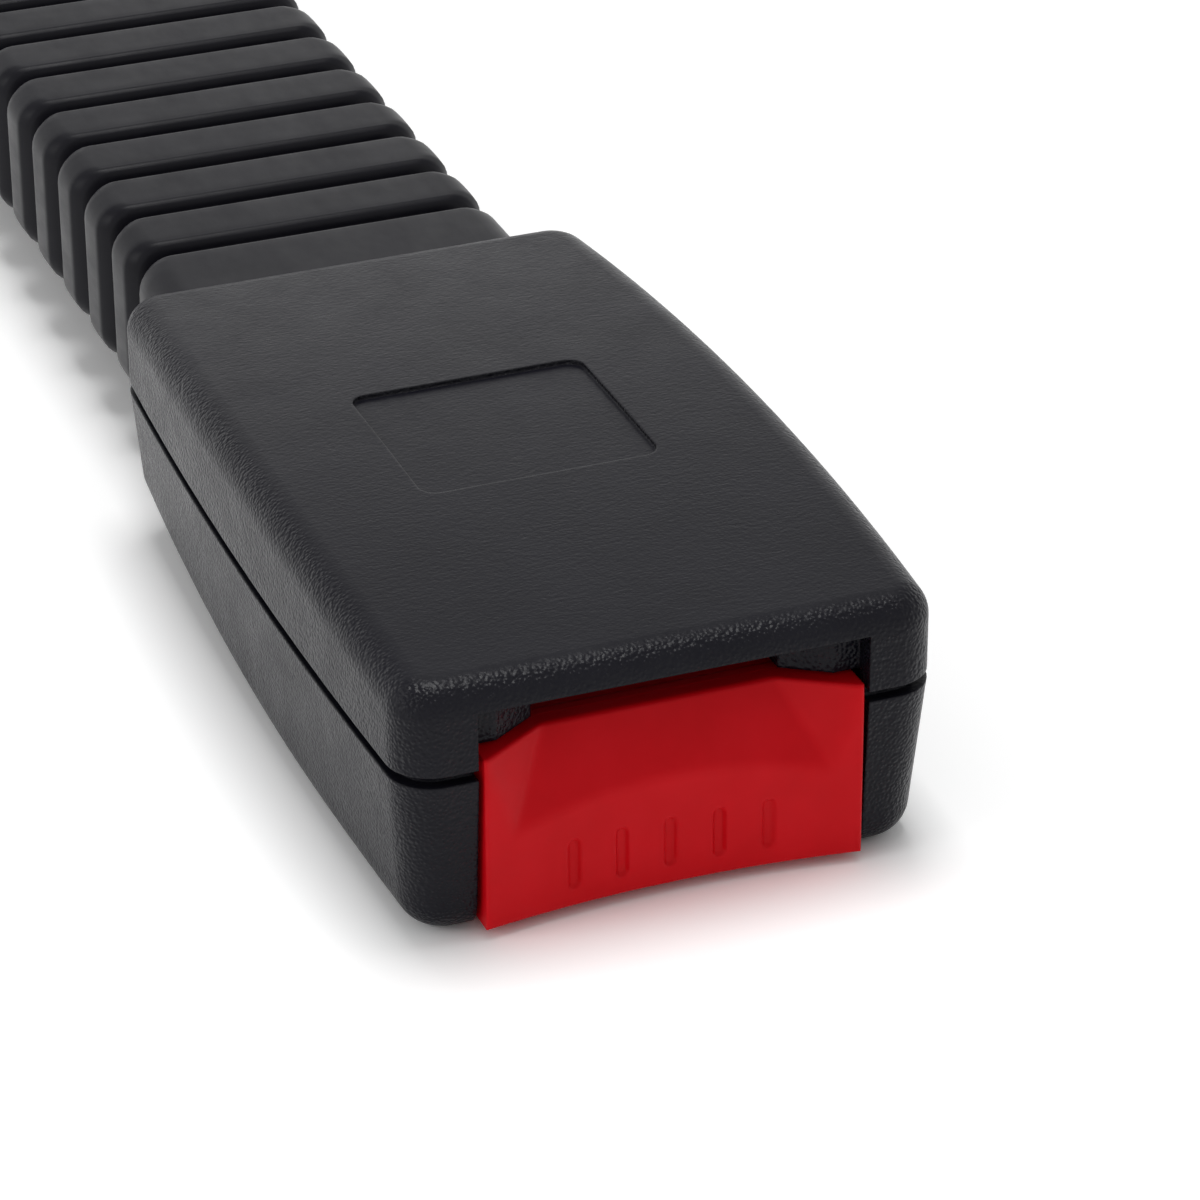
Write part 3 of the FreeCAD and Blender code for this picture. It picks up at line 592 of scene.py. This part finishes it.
class Skin:
    """Points and faces of one mesh while it is built."""

    def __init__(self) -> None:
        """Start empty."""
        self.points: list[Point] = []
        self.faces: list[tuple[int, ...]] = []

    def ring(self, points: list[Point]) -> list[int]:
        """Add points.

        Args:
            points: their places.

        Returns:
            Their numbers.
        """
        start = len(self.points)
        self.points.extend(points)
        return list(range(start, start + len(points)))

    def bridge(self, first: list[int], second: list[int]) -> None:
        """Join two closed rings of the same size with quads.

        Args:
            first: numbers of the first ring's points.
            second: numbers of the second ring's points.
        """
        count = len(first)
        for index in range(count):
            after = (index + 1) % count
            self.faces.append((first[index], first[after], second[after], second[index]))

    def cap(self, ring: list[int], turned: bool = False) -> None:
        """Close a ring with one face."""
        self.faces.append(tuple(reversed(ring)) if turned else tuple(ring))

    def tube(self, rings: list[list[Point]], closed: bool = False) -> None:
        """Add a row of rings, joined, with capped or joined ends.

        Args:
            rings: the rings in order.
            closed: whether the last ring joins the first, in place of two caps.
        """
        numbers = [self.ring(ring) for ring in rings]
        for first, second in zip(numbers, numbers[1:]):
            self.bridge(first, second)
        if closed:
            self.bridge(numbers[-1], numbers[0])
        else:
            self.cap(numbers[0], True)
            self.cap(numbers[-1])

    def block(self, low: Point, high: Point) -> None:
        """Add a closed block between two corners."""
        corners = ((low[0], low[2]), (high[0], low[2]), (high[0], high[2]), (low[0], high[2]))
        self.tube([[(x, y, z) for x, z in corners] for y in (low[1], high[1])])

    def piece(self, name: str, smooth_angle: float = 35.0) -> bpy.types.Object:
        """Make the object.

        Args:
            name: the piece's name.
            smooth_angle: edges that turn by less than this many degrees shade smoothly.

        Returns:
            The object, linked to the scene.
        """
        mesh = bpy.data.meshes.new(name)
        mesh.from_pydata(self.points, [], self.faces)
        form = bmesh.new()
        form.from_mesh(mesh)
        bmesh.ops.recalc_face_normals(form, faces=form.faces)
        form.to_mesh(mesh)
        form.free()
        mesh.shade_smooth()
        mesh.set_sharp_from_angle(angle=math.radians(smooth_angle))
        piece = bpy.data.objects.new(name, mesh)
        bpy.context.scene.collection.objects.link(piece)
        return piece


# Sub-assemblies


@dataclass
class Housing:
    """The two covers of the buckle."""

    paints: Paints

    def build(self) -> None:
        """Dress the covers, whose forms the frame already has."""
        self.paints.coat_nodes(COVER_GRAIN, "upper_cover", "lower_cover")


@dataclass
class PressButton:
    """The red end button: a hollow finger face under a funnel, with five plain sunk grip marks."""

    paints: Paints
    half: float = 17.0 * MM
    low: float = 0.9 * MM
    high: float = 17.2 * MM
    depth: float = 6.6 * MM
    proud: float = 0.2 * MM
    hollow: float = 1.4 * MM
    wall: float = 2.0 * MM
    funnel_low: float = 9.9 * MM
    funnel_low_half: float = 14.0 * MM
    funnel_top_half: float = 10.4 * MM
    funnel_depth: float = 4.1 * MM
    blending: float = 0.35 * MM
    edge_radius: float = 0.35 * MM
    mark_count: int = 5
    mark_pitch: float = 4.4 * MM
    mark_half: float = 0.5 * MM
    mark_low: float = 2.7 * MM
    mark_high: float = 7.3 * MM
    mark_depth: float = 0.4 * MM
    mark_fade: float = 0.3 * MM
    grid_step: float = 0.14 * MM
    shoulder_depths: Pair = (3.8 * MM, 7.0 * MM)
    shoulder_heights: Pair = (4.0 * MM, 14.4 * MM)
    peg_centre: float = 18.05 * MM
    peg_half: float = 1.0 * MM
    peg_depths: Pair = (6.5 * MM, 9.2 * MM)
    peg_heights: Pair = (7.0 * MM, 9.0 * MM)
    deck_half: float = 12.6 * MM
    deck_depths: Pair = (5.6 * MM, 14.1 * MM)
    deck_thickness: float = 2.0 * MM
    sunk: float = 0.02 * MM
    rail_sides: Pair = (8.6 * MM, 11.0 * MM)
    rail_outline: tuple[Pair, ...] = tuple((y * MM, z * MM) for y, z in (
        (13.1, 17.18), (30.5, 17.18), (30.5, 15.6), (20.5, 10.45), (18.0, 10.45), (13.1, 15.2)))
    face: float = 0.0

    def build(self) -> None:
        """Build the button in its node's place and dress it."""
        self.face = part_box("press_button")[0].y
        skin = Skin()
        self.front_block(skin)
        for low, high in self.blocks():
            skin.block(low, high)
        for side in (-1, 1):
            skin.tube([[(side * x, self.face + self.proud + y, z) for y, z in self.rail_outline]
                       for x in self.rail_sides])
        button = skin.piece("button_body", 40)
        self.paints.dress(button, BUTTON_RED, "press_button", "red_plastic")
        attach(button, Body.BUTTON.value)

    def finger_depth(self, x: float) -> float:
        """Depth of the hollow finger face behind the foremost edge."""
        radius = (self.half ** 2 + self.hollow ** 2) / (2 * self.hollow)
        return self.hollow - radius + math.sqrt(radius ** 2 - x ** 2)

    def funnel(self, x: float, z: float) -> float:
        """Depth of the funnel's three planes.

        Args:
            x: place across the button.
            z: height.

        Returns:
            Depth behind the foremost edge.
        """
        start = self.hollow / 3 + self.proud
        rise = (z - self.funnel_low) / (self.high - self.funnel_low)
        middle = start + (self.funnel_depth + self.proud - start) * rise
        outer = self.funnel_low_half + (self.half - self.funnel_low_half) * rise
        inner = self.funnel_low_half + (self.funnel_top_half - self.funnel_low_half) * rise
        slope = (self.funnel_depth + self.proud) / (self.half - self.funnel_top_half)
        side = (outer - abs(x)) * slope + start * (1 - rise)
        return -self.soften(-middle, -side) if inner < self.half else middle

    def soften(self, first: float, second: float) -> float:
        """The larger of two values, with a rounded change between them."""
        gap = max(self.blending - abs(first - second), 0.0)
        return max(first, second) + gap ** 2 / (4 * self.blending)

    def mark(self, x: float, z: float) -> float:
        """Depth of the grip marks.

        Args:
            x: place across the button.
            z: height.

        Returns:
            The depth there.
        """
        offset = x / self.mark_pitch + (self.mark_count - 1) / 2
        nearest = min(max(round(offset), 0), self.mark_count - 1)
        across = (offset - nearest) * self.mark_pitch
        middle = (self.mark_low + self.mark_high) / 2
        reach = (self.mark_high - self.mark_low) / 2 - self.mark_half
        beyond = max(abs(z - middle) - reach, 0.0)
        inside = self.mark_half - math.hypot(across, beyond)
        share = min(max(inside / self.mark_fade + 0.5, 0.0), 1.0)
        return self.mark_depth * share * share * (3 - 2 * share)

    def edge_drop(self, distance: float) -> float:
        """How far the face falls back near its border, so that the edge is round."""
        short = max(self.edge_radius - distance, 0.0)
        return self.edge_radius - math.sqrt(max(self.edge_radius ** 2 - short ** 2, 0.0))

    def front(self, x: float, z: float) -> float:
        """Place of the front surface along Y.

        Args:
            x: place across the button.
            z: height.

        Returns:
            The surface's Y there.
        """
        depth = self.soften(self.finger_depth(x), self.funnel(x, z)) + self.mark(x, z)
        border = min(self.half - abs(x), z - self.low, self.high - z)
        return self.face + depth + self.edge_drop(max(border, 0.0))

    def stations(self, low: float, high: float) -> list[float]:
        """Grid places between two limits, closer together by the edges.

        Args:
            low: the first place.
            high: the last place.

        Returns:
            All the places in order.
        """
        near = [self.edge_radius * share for share in (0.0, 0.1, 0.25, 0.5, 0.75)]
        count = round((high - low - 2 * self.edge_radius) / self.grid_step)
        inner = [low + self.edge_radius + (high - low - 2 * self.edge_radius) * k / count
                 for k in range(count + 1)]
        return [low + d for d in near] + inner + [high - d for d in reversed(near)]

    def front_block(self, skin: Skin) -> None:
        """The block with the finger face, hollow behind.

        Args:
            skin: the mesh to add it to.
        """
        xs = self.stations(-self.half, self.half)
        zs = self.stations(self.low, self.high)
        grid = [skin.ring([(x, self.front(x, z), z) for x in xs]) for z in zs]
        for lower, upper in zip(grid, grid[1:]):
            for index in range(len(xs) - 1):
                skin.faces.append((lower[index], lower[index + 1], upper[index + 1], upper[index]))
        border = grid[0] + [row[-1] for row in grid[1:-1]]
        border += grid[-1][::-1] + [row[0] for row in grid[-2:0:-1]]
        places = [skin.points[number] for number in border]
        rear = self.face + self.proud + self.depth
        back = skin.ring([(x, rear, z) for x, _, z in places])
        skin.bridge(border, back)
        inner = self.half - self.wall
        bottom_edge, top_edge = self.low + self.wall, self.funnel_low + self.wall
        mouth = [(min(max(x, -inner), inner), min(max(z, bottom_edge), top_edge))
                 for x, _, z in places]
        rim = skin.ring([(x, rear, z) for x, z in mouth])
        floor = self.face + self.proud + self.hollow + self.wall
        bottom = skin.ring([(x, floor, z) for x, z in mouth])
        skin.bridge(back, rim)
        skin.bridge(rim, bottom)
        skin.cap(bottom)

    def blocks(self) -> list[tuple[Point, Point]]:
        """Shoulders, spring pegs and deck behind the face.

        Returns:
            The lowest and highest corner of each.
        """
        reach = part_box("press_button")[1].x
        boxes = []
        for side in (-1, 1):
            edges = sorted((side * (self.half - self.wall), side * reach))
            boxes.append((edges, self.shoulder_depths, self.shoulder_heights))
            peg = side * self.peg_centre
            boxes.append(((peg - self.peg_half, peg + self.peg_half), self.peg_depths,
                          self.peg_heights))
        boxes.append(((-self.deck_half, self.deck_half), self.deck_depths,
                      (self.high - self.deck_thickness, self.high - self.sunk)))
        face = self.face + self.proud
        return [tuple((xs[end], face + depths[end], heights[end]) for end in (0, 1))
                for xs, depths, heights in boxes]


@dataclass(frozen=True)
class Coil:
    """One compression spring of round wire, wound between two seats, with closed end turns."""

    name: str
    node: str
    joint: Joint
    way: Way
    radius: float
    wire: float
    turns: int
    squeezed: float
    from_far_end: bool = True
    steps: int = 24
    sides: int = 10

    def build(self, paints: Paints) -> None:
        """Wind the spring in its node's place.

        Args:
            paints: the finishes.
        """
        low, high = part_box(self.node)
        middle = (low + high) / 2
        side, up, along = (Vector(axis) for axis in self.way.value)
        start = middle - along * along.dot(high - low) / 2
        length = along.dot(high - low)
        rings = []
        closed, flat = 0.8, 0.1
        count = self.turns * self.steps
        for index in range(count + 1):
            share = index / count
            angle = 2 * math.pi * self.turns * share
            spread = min(max((share * self.turns - closed) / (self.turns - 2 * closed), 0.0), 1.0)
            rise = self.wire / 2 + (length - self.wire) * (flat * share + (1 - flat) * spread)
            outward = side * math.cos(angle) + up * math.sin(angle)
            centre = start + outward * self.radius + along * rise
            rings.append([])
            for corner in range(self.sides):
                turn = math.tau * corner / self.sides
                edge = (outward * math.cos(turn) + along * math.sin(turn)) * self.wire / 2
                rings[-1].append(tuple(centre + edge))
        skin = Skin()
        skin.tube(rings)
        spring = skin.piece(self.name)
        paints.dress(spring, SPRING_WIRE, self.node, "spring_steel")
        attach(spring, Body.HOUSING.value)
        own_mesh(spring)


@dataclass
class LatchWork:
    """Steel frame, pawl, ejector and the springs inside the housing."""

    paints: Paints

    def build(self) -> None:
        """Dress the steel pieces and wind the springs."""
        self.paints.coat_nodes(ZINC_STEEL, "buckle_frame")
        self.paints.coat_nodes(DARK_STEEL, "latch_plate", "latch_pin", "latch_pin_clip")
        self.paints.coat_nodes(PALE_ACETAL, "ejector")
        coils = [Coil(f"button_coil_{side}", f"button_spring_{side}", Joint.BUTTON, Way.ALONG,
                      radius=2.0 * MM, wire=0.6 * MM, turns=8, squeezed=5 * MM)
                 for side in ("left", "right")]
        coils.append(Coil("ejector_coil", "ejector_spring", Joint.EJECTOR, Way.ALONG,
                          radius=1.6 * MM, wire=0.45 * MM, turns=9, squeezed=10 * MM))
        coils.append(Coil("latch_coil", "latch_spring", Joint.LATCH, Way.UPWARD, radius=2.1 * MM,
                          wire=0.6 * MM, turns=5, squeezed=3.7 * MM, from_far_end=False))
        for coil in coils:
            coil.build(self.paints)


@dataclass
class Stalk:
    """Ribbed sleeve over two plies of webbing, between the buckle and the tongue."""

    paints: Paints
    half_width: float = 18.4 * MM
    corner_radius: float = 3.0 * MM
    corner_steps: int = 7
    wall: float = 2.6 * MM
    neck: float = 9.8 * MM
    rib_count: int = 11
    rib_pitch: float = 9.4 * MM
    groove_width: float = 2.3 * MM
    groove_depth: float = 1.5 * MM
    groove_corner_radius: float = 4.5 * MM
    groove_side_depth: float = 2.3 * MM
    side_bulge: float = 0.15 * MM
    side_shoulder: Pair = (1.5 * MM, 0.95 * MM)
    shoulder_power: float = 1.25
    top_shoulder: Pair = (0.5 * MM, 0.35 * MM)
    groove_foot: float = 0.3 * MM
    ear_width: float = 1.2 * MM
    ear_length: float = 2.0 * MM
    ear_root: float = 0.5 * MM
    ear_heights: Pair = (9.5 * MM, 19.5 * MM)
    rear_ear_inset: float = 2.6 * MM
    ply: float = 1.2 * MM
    ply_gap: float = 0.1 * MM
    belt_half: float = 15.0 * MM
    belt_plane: float = 14.4 * MM
    front_loop: float = 3.15 * MM
    rear_loop: float = 3.35 * MM
    loop_reach: float = 17.2 * MM
    selvedge: float = 0.5 * MM
    selvedge_pinch: float = 0.35
    seam_rows: int = 5
    stitches: int = 8
    thread_radius: float = 0.17 * MM
    row_inset: float = 0.25 * MM
    stitch_dip: float = 0.25 * MM
    low: float = 0.0
    high: float = 0.0
    bend_start: Point = (0, -38.5 * MM, 14.4 * MM)
    bend_end: Point = (0, 50.9 * MM, 14.4 * MM)

    def build(self) -> None:
        """Build the sleeve, the webbing, its seams and its guards."""
        sleeve = self.sleeve()
        self.paints.dress(sleeve, SLEEVE_SATIN, "sleeve", "sleeve_plastic")
        belt = self.belt()
        self.paints.dress(belt, BELT, "webbing", "black_webbing")
        for piece in (sleeve, belt):
            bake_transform(piece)
        for name, node, body in (("front_seam", "front_stitching", Body.HOUSING),
                                 ("rear_seam", "rear_stitching", Body.TONGUE)):
            seam = self.seam(name, node)
            self.paints.dress(seam, THREAD, node, "black_thread")
            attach(seam, body.value)
        self.paints.coat_nodes(PALE_ACETAL, "frame_web_guard", "tongue_web_guard")

    def section(self, y: float, side: float, top: float, radius: float) -> list[Point]:
        """The sleeve's section, a rounded rectangle.

        Args:
            y: place along the stalk.
            side: how far the sides stand in.
            top: how far the top and bottom stand in.
            radius: radius of the corners.

        Returns:
            Its points in order.
        """
        reach = self.half_width - side - radius
        low, high = self.low + top + radius, self.high - top - radius
        section = []
        for corner, (x, z) in enumerate(((reach, high), (-reach, high), (-reach, low), (reach, low))):
            for step in range(self.corner_steps + 1):
                angle = math.radians(90 * corner + 90 * step / self.corner_steps)
                section.append((x + radius * math.cos(angle), y, z + radius * math.sin(angle)))
        return section

    def shoulder(self, distance: float, size: Pair) -> float:
        """How far a shoulder of a given reach and depth stands in at a distance from the groove."""
        reach, depth = size
        return depth * max(1 - distance / reach, 0.0) ** self.shoulder_power

    def rib(self, start: float, end: float, first: bool, last: bool) -> list[list[Point]]:
        """Sections of one rib, with bowed sides and sloping shoulders beside the grooves.

        Args:
            start: where it starts along the stalk.
            end: where it ends.
            first: whether it comes out of the buckle.
            last: whether it goes into the grip.

        Returns:
            The sections from start to end.
        """
        length = end - start
        reach = self.side_shoulder[0]
        near = sorted([reach * share for share in (0.0, 0.2, 0.5, 0.75, 0.9, 1.0)]
                      + [self.top_shoulder[0] * share for share in (0.25, 0.8, 1.0)])
        middle = [reach + (length - 2 * reach) * k / 6 for k in range(1, 6)]
        sections = []
        for place in near + middle + [length - d for d in reversed(near)]:
            distance = min(length if first else place, length if last else length - place)
            bow = 0.0 if first or last else self.side_bulge * (2 * place / length - 1) ** 2
            side = bow + self.shoulder(distance, self.side_shoulder)
            top = self.shoulder(distance, self.top_shoulder)
            sections.append(self.section(start + place, side, top, self.corner_radius))
        return sections

    def groove(self, start: float) -> list[list[Point]]:
        """Sections of one groove's floor, with a small radius at the foot of each wall.

        Args:
            start: where it starts along the stalk.

        Returns:
            The sections in order.
        """
        sections = []
        foot = self.groove_foot
        for place, lift in ((0.0, foot), (0.3 * foot, 0.3 * foot), (foot, 0.0)):
            sections.append(self.section(start + place, self.groove_side_depth - lift,
                                         self.groove_depth - lift, self.groove_corner_radius))
        end = start + self.groove_width
        mirrored = [[(x, end + start - y, z) for x, y, z in ring] for ring in reversed(sections)]
        return sections + mirrored

    def sleeve(self) -> bpy.types.Object:
        """Ribbed tube with a bore, and the ears that hold it in the covers.

        Returns:
            The piece.
        """
        low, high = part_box("sleeve")
        self.low, self.high = low.z, high.z
        skin = Skin()
        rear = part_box("upper_cover")[1].y
        starts = [rear + self.neck + index * self.rib_pitch for index in range(self.rib_count)]
        spans = list(zip([low.y] + [y + self.groove_width for y in starts], starts + [high.y]))
        outside = []
        for index, (start, end) in enumerate(spans):
            outside += self.rib(start, end, index == 0, index == self.rib_count)
            if index < self.rib_count:
                outside += self.groove(end)
        steps = 36
        bore_radius = self.groove_corner_radius - (self.wall - self.groove_depth)
        inside = [self.section(high.y + (low.y - high.y) * step / steps, self.wall, self.wall,
                               bore_radius) for step in range(steps + 1)]
        skin.tube(outside + inside, closed=True)
        bottom, top = self.ear_heights
        for y in (low.y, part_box("grip_upper")[0].y + self.rear_ear_inset):
            for side in (-1, 1):
                near, far = sorted((side * (self.half_width - self.ear_root),
                                    side * (self.half_width + self.ear_width)))
                skin.block((near, y, bottom), (far, y + self.ear_length, top))
        return skin.piece("ribbed_sleeve", 50)

    def belt(self) -> bpy.types.Object:
        """Webbing with a loop at each end and a dense selvedge along its sides.

        Returns:
            The piece.
        """
        low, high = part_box("webbing")
        half = self.ply + self.ply_gap / 2
        first, last = low.y + self.loop_reach, high.y - self.loop_reach
        span = [first + (last - first) * step / 60 for step in range(61)]
        turns = [math.radians(15 * step) for step in range(13)]
        plane, rear, front = self.belt_plane, self.rear_loop, self.front_loop
        outer = [(y, plane + half) for y in span]
        outer += [(high.y + rear * (math.sin(turn) - 1), plane + rear * math.cos(turn))
                  for turn in turns]
        outer += [(y, plane - half) for y in reversed(span)]
        outer += [(low.y - front * (math.sin(turn) - 1), plane - front * math.cos(turn))
                  for turn in turns]
        full = self.belt_half - self.selvedge
        squeeze = self.ply * self.selvedge_pinch / 2
        edges = ((-self.belt_half, squeeze), (-full, 0.0), (full, 0.0), (self.belt_half, squeeze))
        skin = Skin()
        outside = [skin.ring([(x, y, z) for y, z in self.further_in(outer, depth)])
                   for x, depth in edges]
        inside = [skin.ring([(x, y, z) for y, z in self.further_in(outer, self.ply - depth)])
                  for x, depth in edges]
        for first, second in zip(outside, outside[1:]):
            skin.bridge(first, second)
        for first, second in zip(inside, inside[1:]):
            skin.bridge(second, first)
        skin.bridge(inside[0], outside[0])
        skin.bridge(outside[-1], inside[-1])
        return skin.piece("belt_webbing", 60)

    @staticmethod
    def further_in(loop: list[Pair], depth: float) -> list[Pair]:
        """The same closed line, further in.

        Args:
            loop: points in Y and Z.
            depth: how far they move.

        Returns:
            The moved points.
        """
        inner = []
        for index, (y, z) in enumerate(loop):
            before, after = loop[index - 1], loop[(index + 1) % len(loop)]
            along = Vector((after[0] - before[0], after[1] - before[1])).normalized()
            inner.append((y + along.y * depth, z - along.x * depth))
        return inner

    def seam(self, name: str, node: str) -> bpy.types.Object:
        """Rows of stitches that dip into both faces of the webbing.

        Args:
            name: the piece's name.
            node: the frame's node for these rows.

        Returns:
            The piece.
        """
        low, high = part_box(node)
        skin = Skin()
        radius = self.thread_radius
        pitch = (high.y - low.y - 2 * self.row_inset) / (self.seam_rows - 1)
        length = (high.x - low.x) / self.stitches
        shares = [step / 8 for step in range(9)]
        around = [math.tau * step / 8 for step in range(8)]
        for row in range(self.seam_rows):
            y = low.y + self.row_inset + row * pitch
            for face in (low.z + radius, high.z - radius):
                dip = -self.stitch_dip if face > self.belt_plane else self.stitch_dip
                for index in range(self.stitches):
                    rings = []
                    for share in shares:
                        x = low.x + length * (index + 0.05 + 0.9 * share)
                        z = face + dip * (2 * share - 1) ** 4
                        rings.append([(x, y + radius * math.cos(turn), z + radius * math.sin(turn))
                                      for turn in around])
                    skin.tube(rings)
        return skin.piece(name)


@dataclass
class TongueEnd:
    """Bright steel tongue in its two-part grip."""

    paints: Paints

    def build(self) -> None:
        """Dress the tongue and the grip."""
        self.paints.coat_nodes(BRIGHT_PLATE, "tongue_plate")
        self.paints.coat_nodes(COVER_GRAIN, "grip_lower", "grip_upper")


@dataclass
class Studio:
    """White floor, soft lamps and the camera at the photograph's angle."""

    camera_place: Point = (-139.21 * MM, -472.62 * MM, 229.0 * MM)
    azimuth: float = -21.29
    elevation: float = 28.60
    roll: float = -0.28
    lens: float = 153.87
    sensor: float = 36.0
    floor_half: float = 3.0
    floor_drop: float = 0.02 * MM
    sky: float = 0.44
    rear_glow: float = 0.5
    high_backdrop: float = 0.72
    glow_heights: Pair = (0.25, 0.68)
    glow_turn: Pair = (-0.2, 0.5)
    floor_tint: Colour = (0.93, 0.93, 0.935)
    floor_mottle: float = 0.985
    floor_white: float = 1.18
    floor_fade: Pair = (0.35, 0.9)

    def build(self) -> None:
        """Place the camera, the floor and the lamps."""
        self.camera()
        self.floor()
        self.world()
        self.lamp("top_panel", place=(0.05, 0.02, 1.0), target=(0.05, -0.05, 0.01),
                  size=(0.34, 0.46), power=5.0)
        self.lamp("left_panel", place=(-1.0, -0.1, 0.5), target=(0, -0.09, 0.01),
                  size=(0.5, 0.5), power=1.9)
        bpy.context.scene.view_settings.view_transform = "Standard"

    def camera(self) -> None:
        """Make the camera."""
        azimuth, elevation = math.radians(self.azimuth), math.radians(self.elevation)
        back = Vector((math.sin(azimuth) * math.cos(elevation),
                       -math.cos(azimuth) * math.cos(elevation), math.sin(elevation)))
        right = Vector((0, 0, 1)).cross(back).normalized()
        up = back.cross(right)
        roll = Matrix.Rotation(math.radians(self.roll), 3, "Z")
        data = bpy.data.cameras.new("photo_camera")
        data.lens = self.lens
        data.sensor_width = self.sensor
        camera = bpy.data.objects.new("photo_camera", data)
        turn = Matrix((right, up, back)).transposed() @ roll
        camera.matrix_world = Matrix.Translation(self.camera_place) @ turn.to_4x4()
        bpy.context.scene.collection.objects.link(camera)
        bpy.context.scene.camera = camera

    def floor(self) -> None:
        """Wide white floor that shows as white to the camera outside the object's shadow."""
        skin = Skin()
        half = self.floor_half
        corners = ((-half, -half), (half, -half), (half, half), (-half, half))
        skin.cap(skin.ring([(x, y, 0) for x, y in corners]))
        floor = skin.piece("studio_floor")
        floor.location.z = -self.floor_drop
        floor.data.materials.append(self.floor_material())

    def floor_material(self) -> bpy.types.Material:
        """Faintly mottled paper, paler to the camera and in reflections than as a source of light.

        Returns:
            The new material.
        """
        shader = Shader("studio_paper")
        darker = tuple(channel * self.floor_mottle for channel in self.floor_tint)
        shader.feed("Base Color", shader.blend(shader.noise(60 * MM), self.floor_tint, darker))
        shader.fix(Roughness=0.9, Specular_IOR_Level=0.1)
        white = shader.add("ShaderNodeBsdfDiffuse")
        white.inputs["Color"].default_value = (*(self.floor_white,) * 3, 1)
        distance = shader.add("ShaderNodeVectorMath", operation="LENGTH")
        shader.join(shader.place, distance.inputs[0])
        far = shader.span(distance.outputs["Value"], self.floor_fade, (0.0, 1.0))
        plain = shader.add("ShaderNodeEmission")
        seen = shader.mixed(far, white.outputs["BSDF"], plain.outputs["Emission"])
        surface = shader.mixed(shader.seen_directly(), shader.surface.outputs["BSDF"], seen)
        shader.join(surface, shader.output.inputs["Surface"])
        return shader.material

    def world(self) -> None:
        """Soft light, brighter low down behind the object than in front, and a white backdrop."""
        world = bpy.data.worlds.new("studio_world")
        world.use_nodes = True
        bpy.context.scene.world = world
        graph = Graph(world.node_tree)
        output = graph.add("ShaderNodeOutputWorld")
        skies = []
        for high, low, front in ((self.sky, self.sky + self.rear_glow, 0.0),
                                 (self.high_backdrop, 1.0, 1.0)):
            sky = graph.add("ShaderNodeBackground")
            sky.inputs["Color"].default_value = (1, 1, 1, 1)
            graph.join(self.sky_level(graph, high, low, front), sky.inputs["Strength"])
            skies.append(sky.outputs["Background"])
        graph.join(graph.mixed(graph.seen_directly(), *skies), output.inputs["Surface"])

    def sky_level(self, graph: Graph, high: float, low: float, front: float) -> Socket:
        """Strength of the sky by direction.

        Args:
            graph: the world's node tree.
            high: the strength high up.
            low: the strength low down behind the object.
            front: the share of that difference which is left in front of the object.

        Returns:
            The strength.
        """
        split = graph.add("ShaderNodeSeparateXYZ")
        graph.join(graph.add("ShaderNodeTexCoord").outputs["Generated"], split.inputs["Vector"])
        height = graph.span(split.outputs["Z"], self.glow_heights, (low - high, 0.0), "SMOOTHSTEP")
        turn = graph.span(split.outputs["Y"], self.glow_turn, (front, 1.0), "SMOOTHSTEP")
        return graph.maths("ADD", graph.maths("MULTIPLY", height, turn), high)

    @staticmethod
    def lamp(name: str, place: Point, target: Point, size: Pair, power: float) -> None:
        """Hang one soft panel.

        Args:
            name: the lamp's name.
            place: its centre.
            target: the point that it faces.
            size: its width and height.
            power: its power in watts.
        """
        data = bpy.data.lights.new(name, "AREA")
        data.shape = "RECTANGLE"
        data.size, data.size_y = size
        data.energy = power
        lamp = bpy.data.objects.new(name, data)
        lamp.location = place
        lamp.rotation_euler = (Vector(target) - Vector(place)).to_track_quat("-Z", "Y").to_euler()
        bpy.context.scene.collection.objects.link(lamp)


def main() -> None:
    """Build the sub-assemblies in order."""
    logging.basicConfig(level=logging.INFO, format="%(message)s")
    paints = Paints()
    for assembly in (Studio(), Housing(paints), PressButton(paints), LatchWork(paints),
                     Stalk(paints), TongueEnd(paints)):
        log.info("assembly %s", type(assembly).__name__)
        assembly.build()


if __name__ == "__main__":
    main()
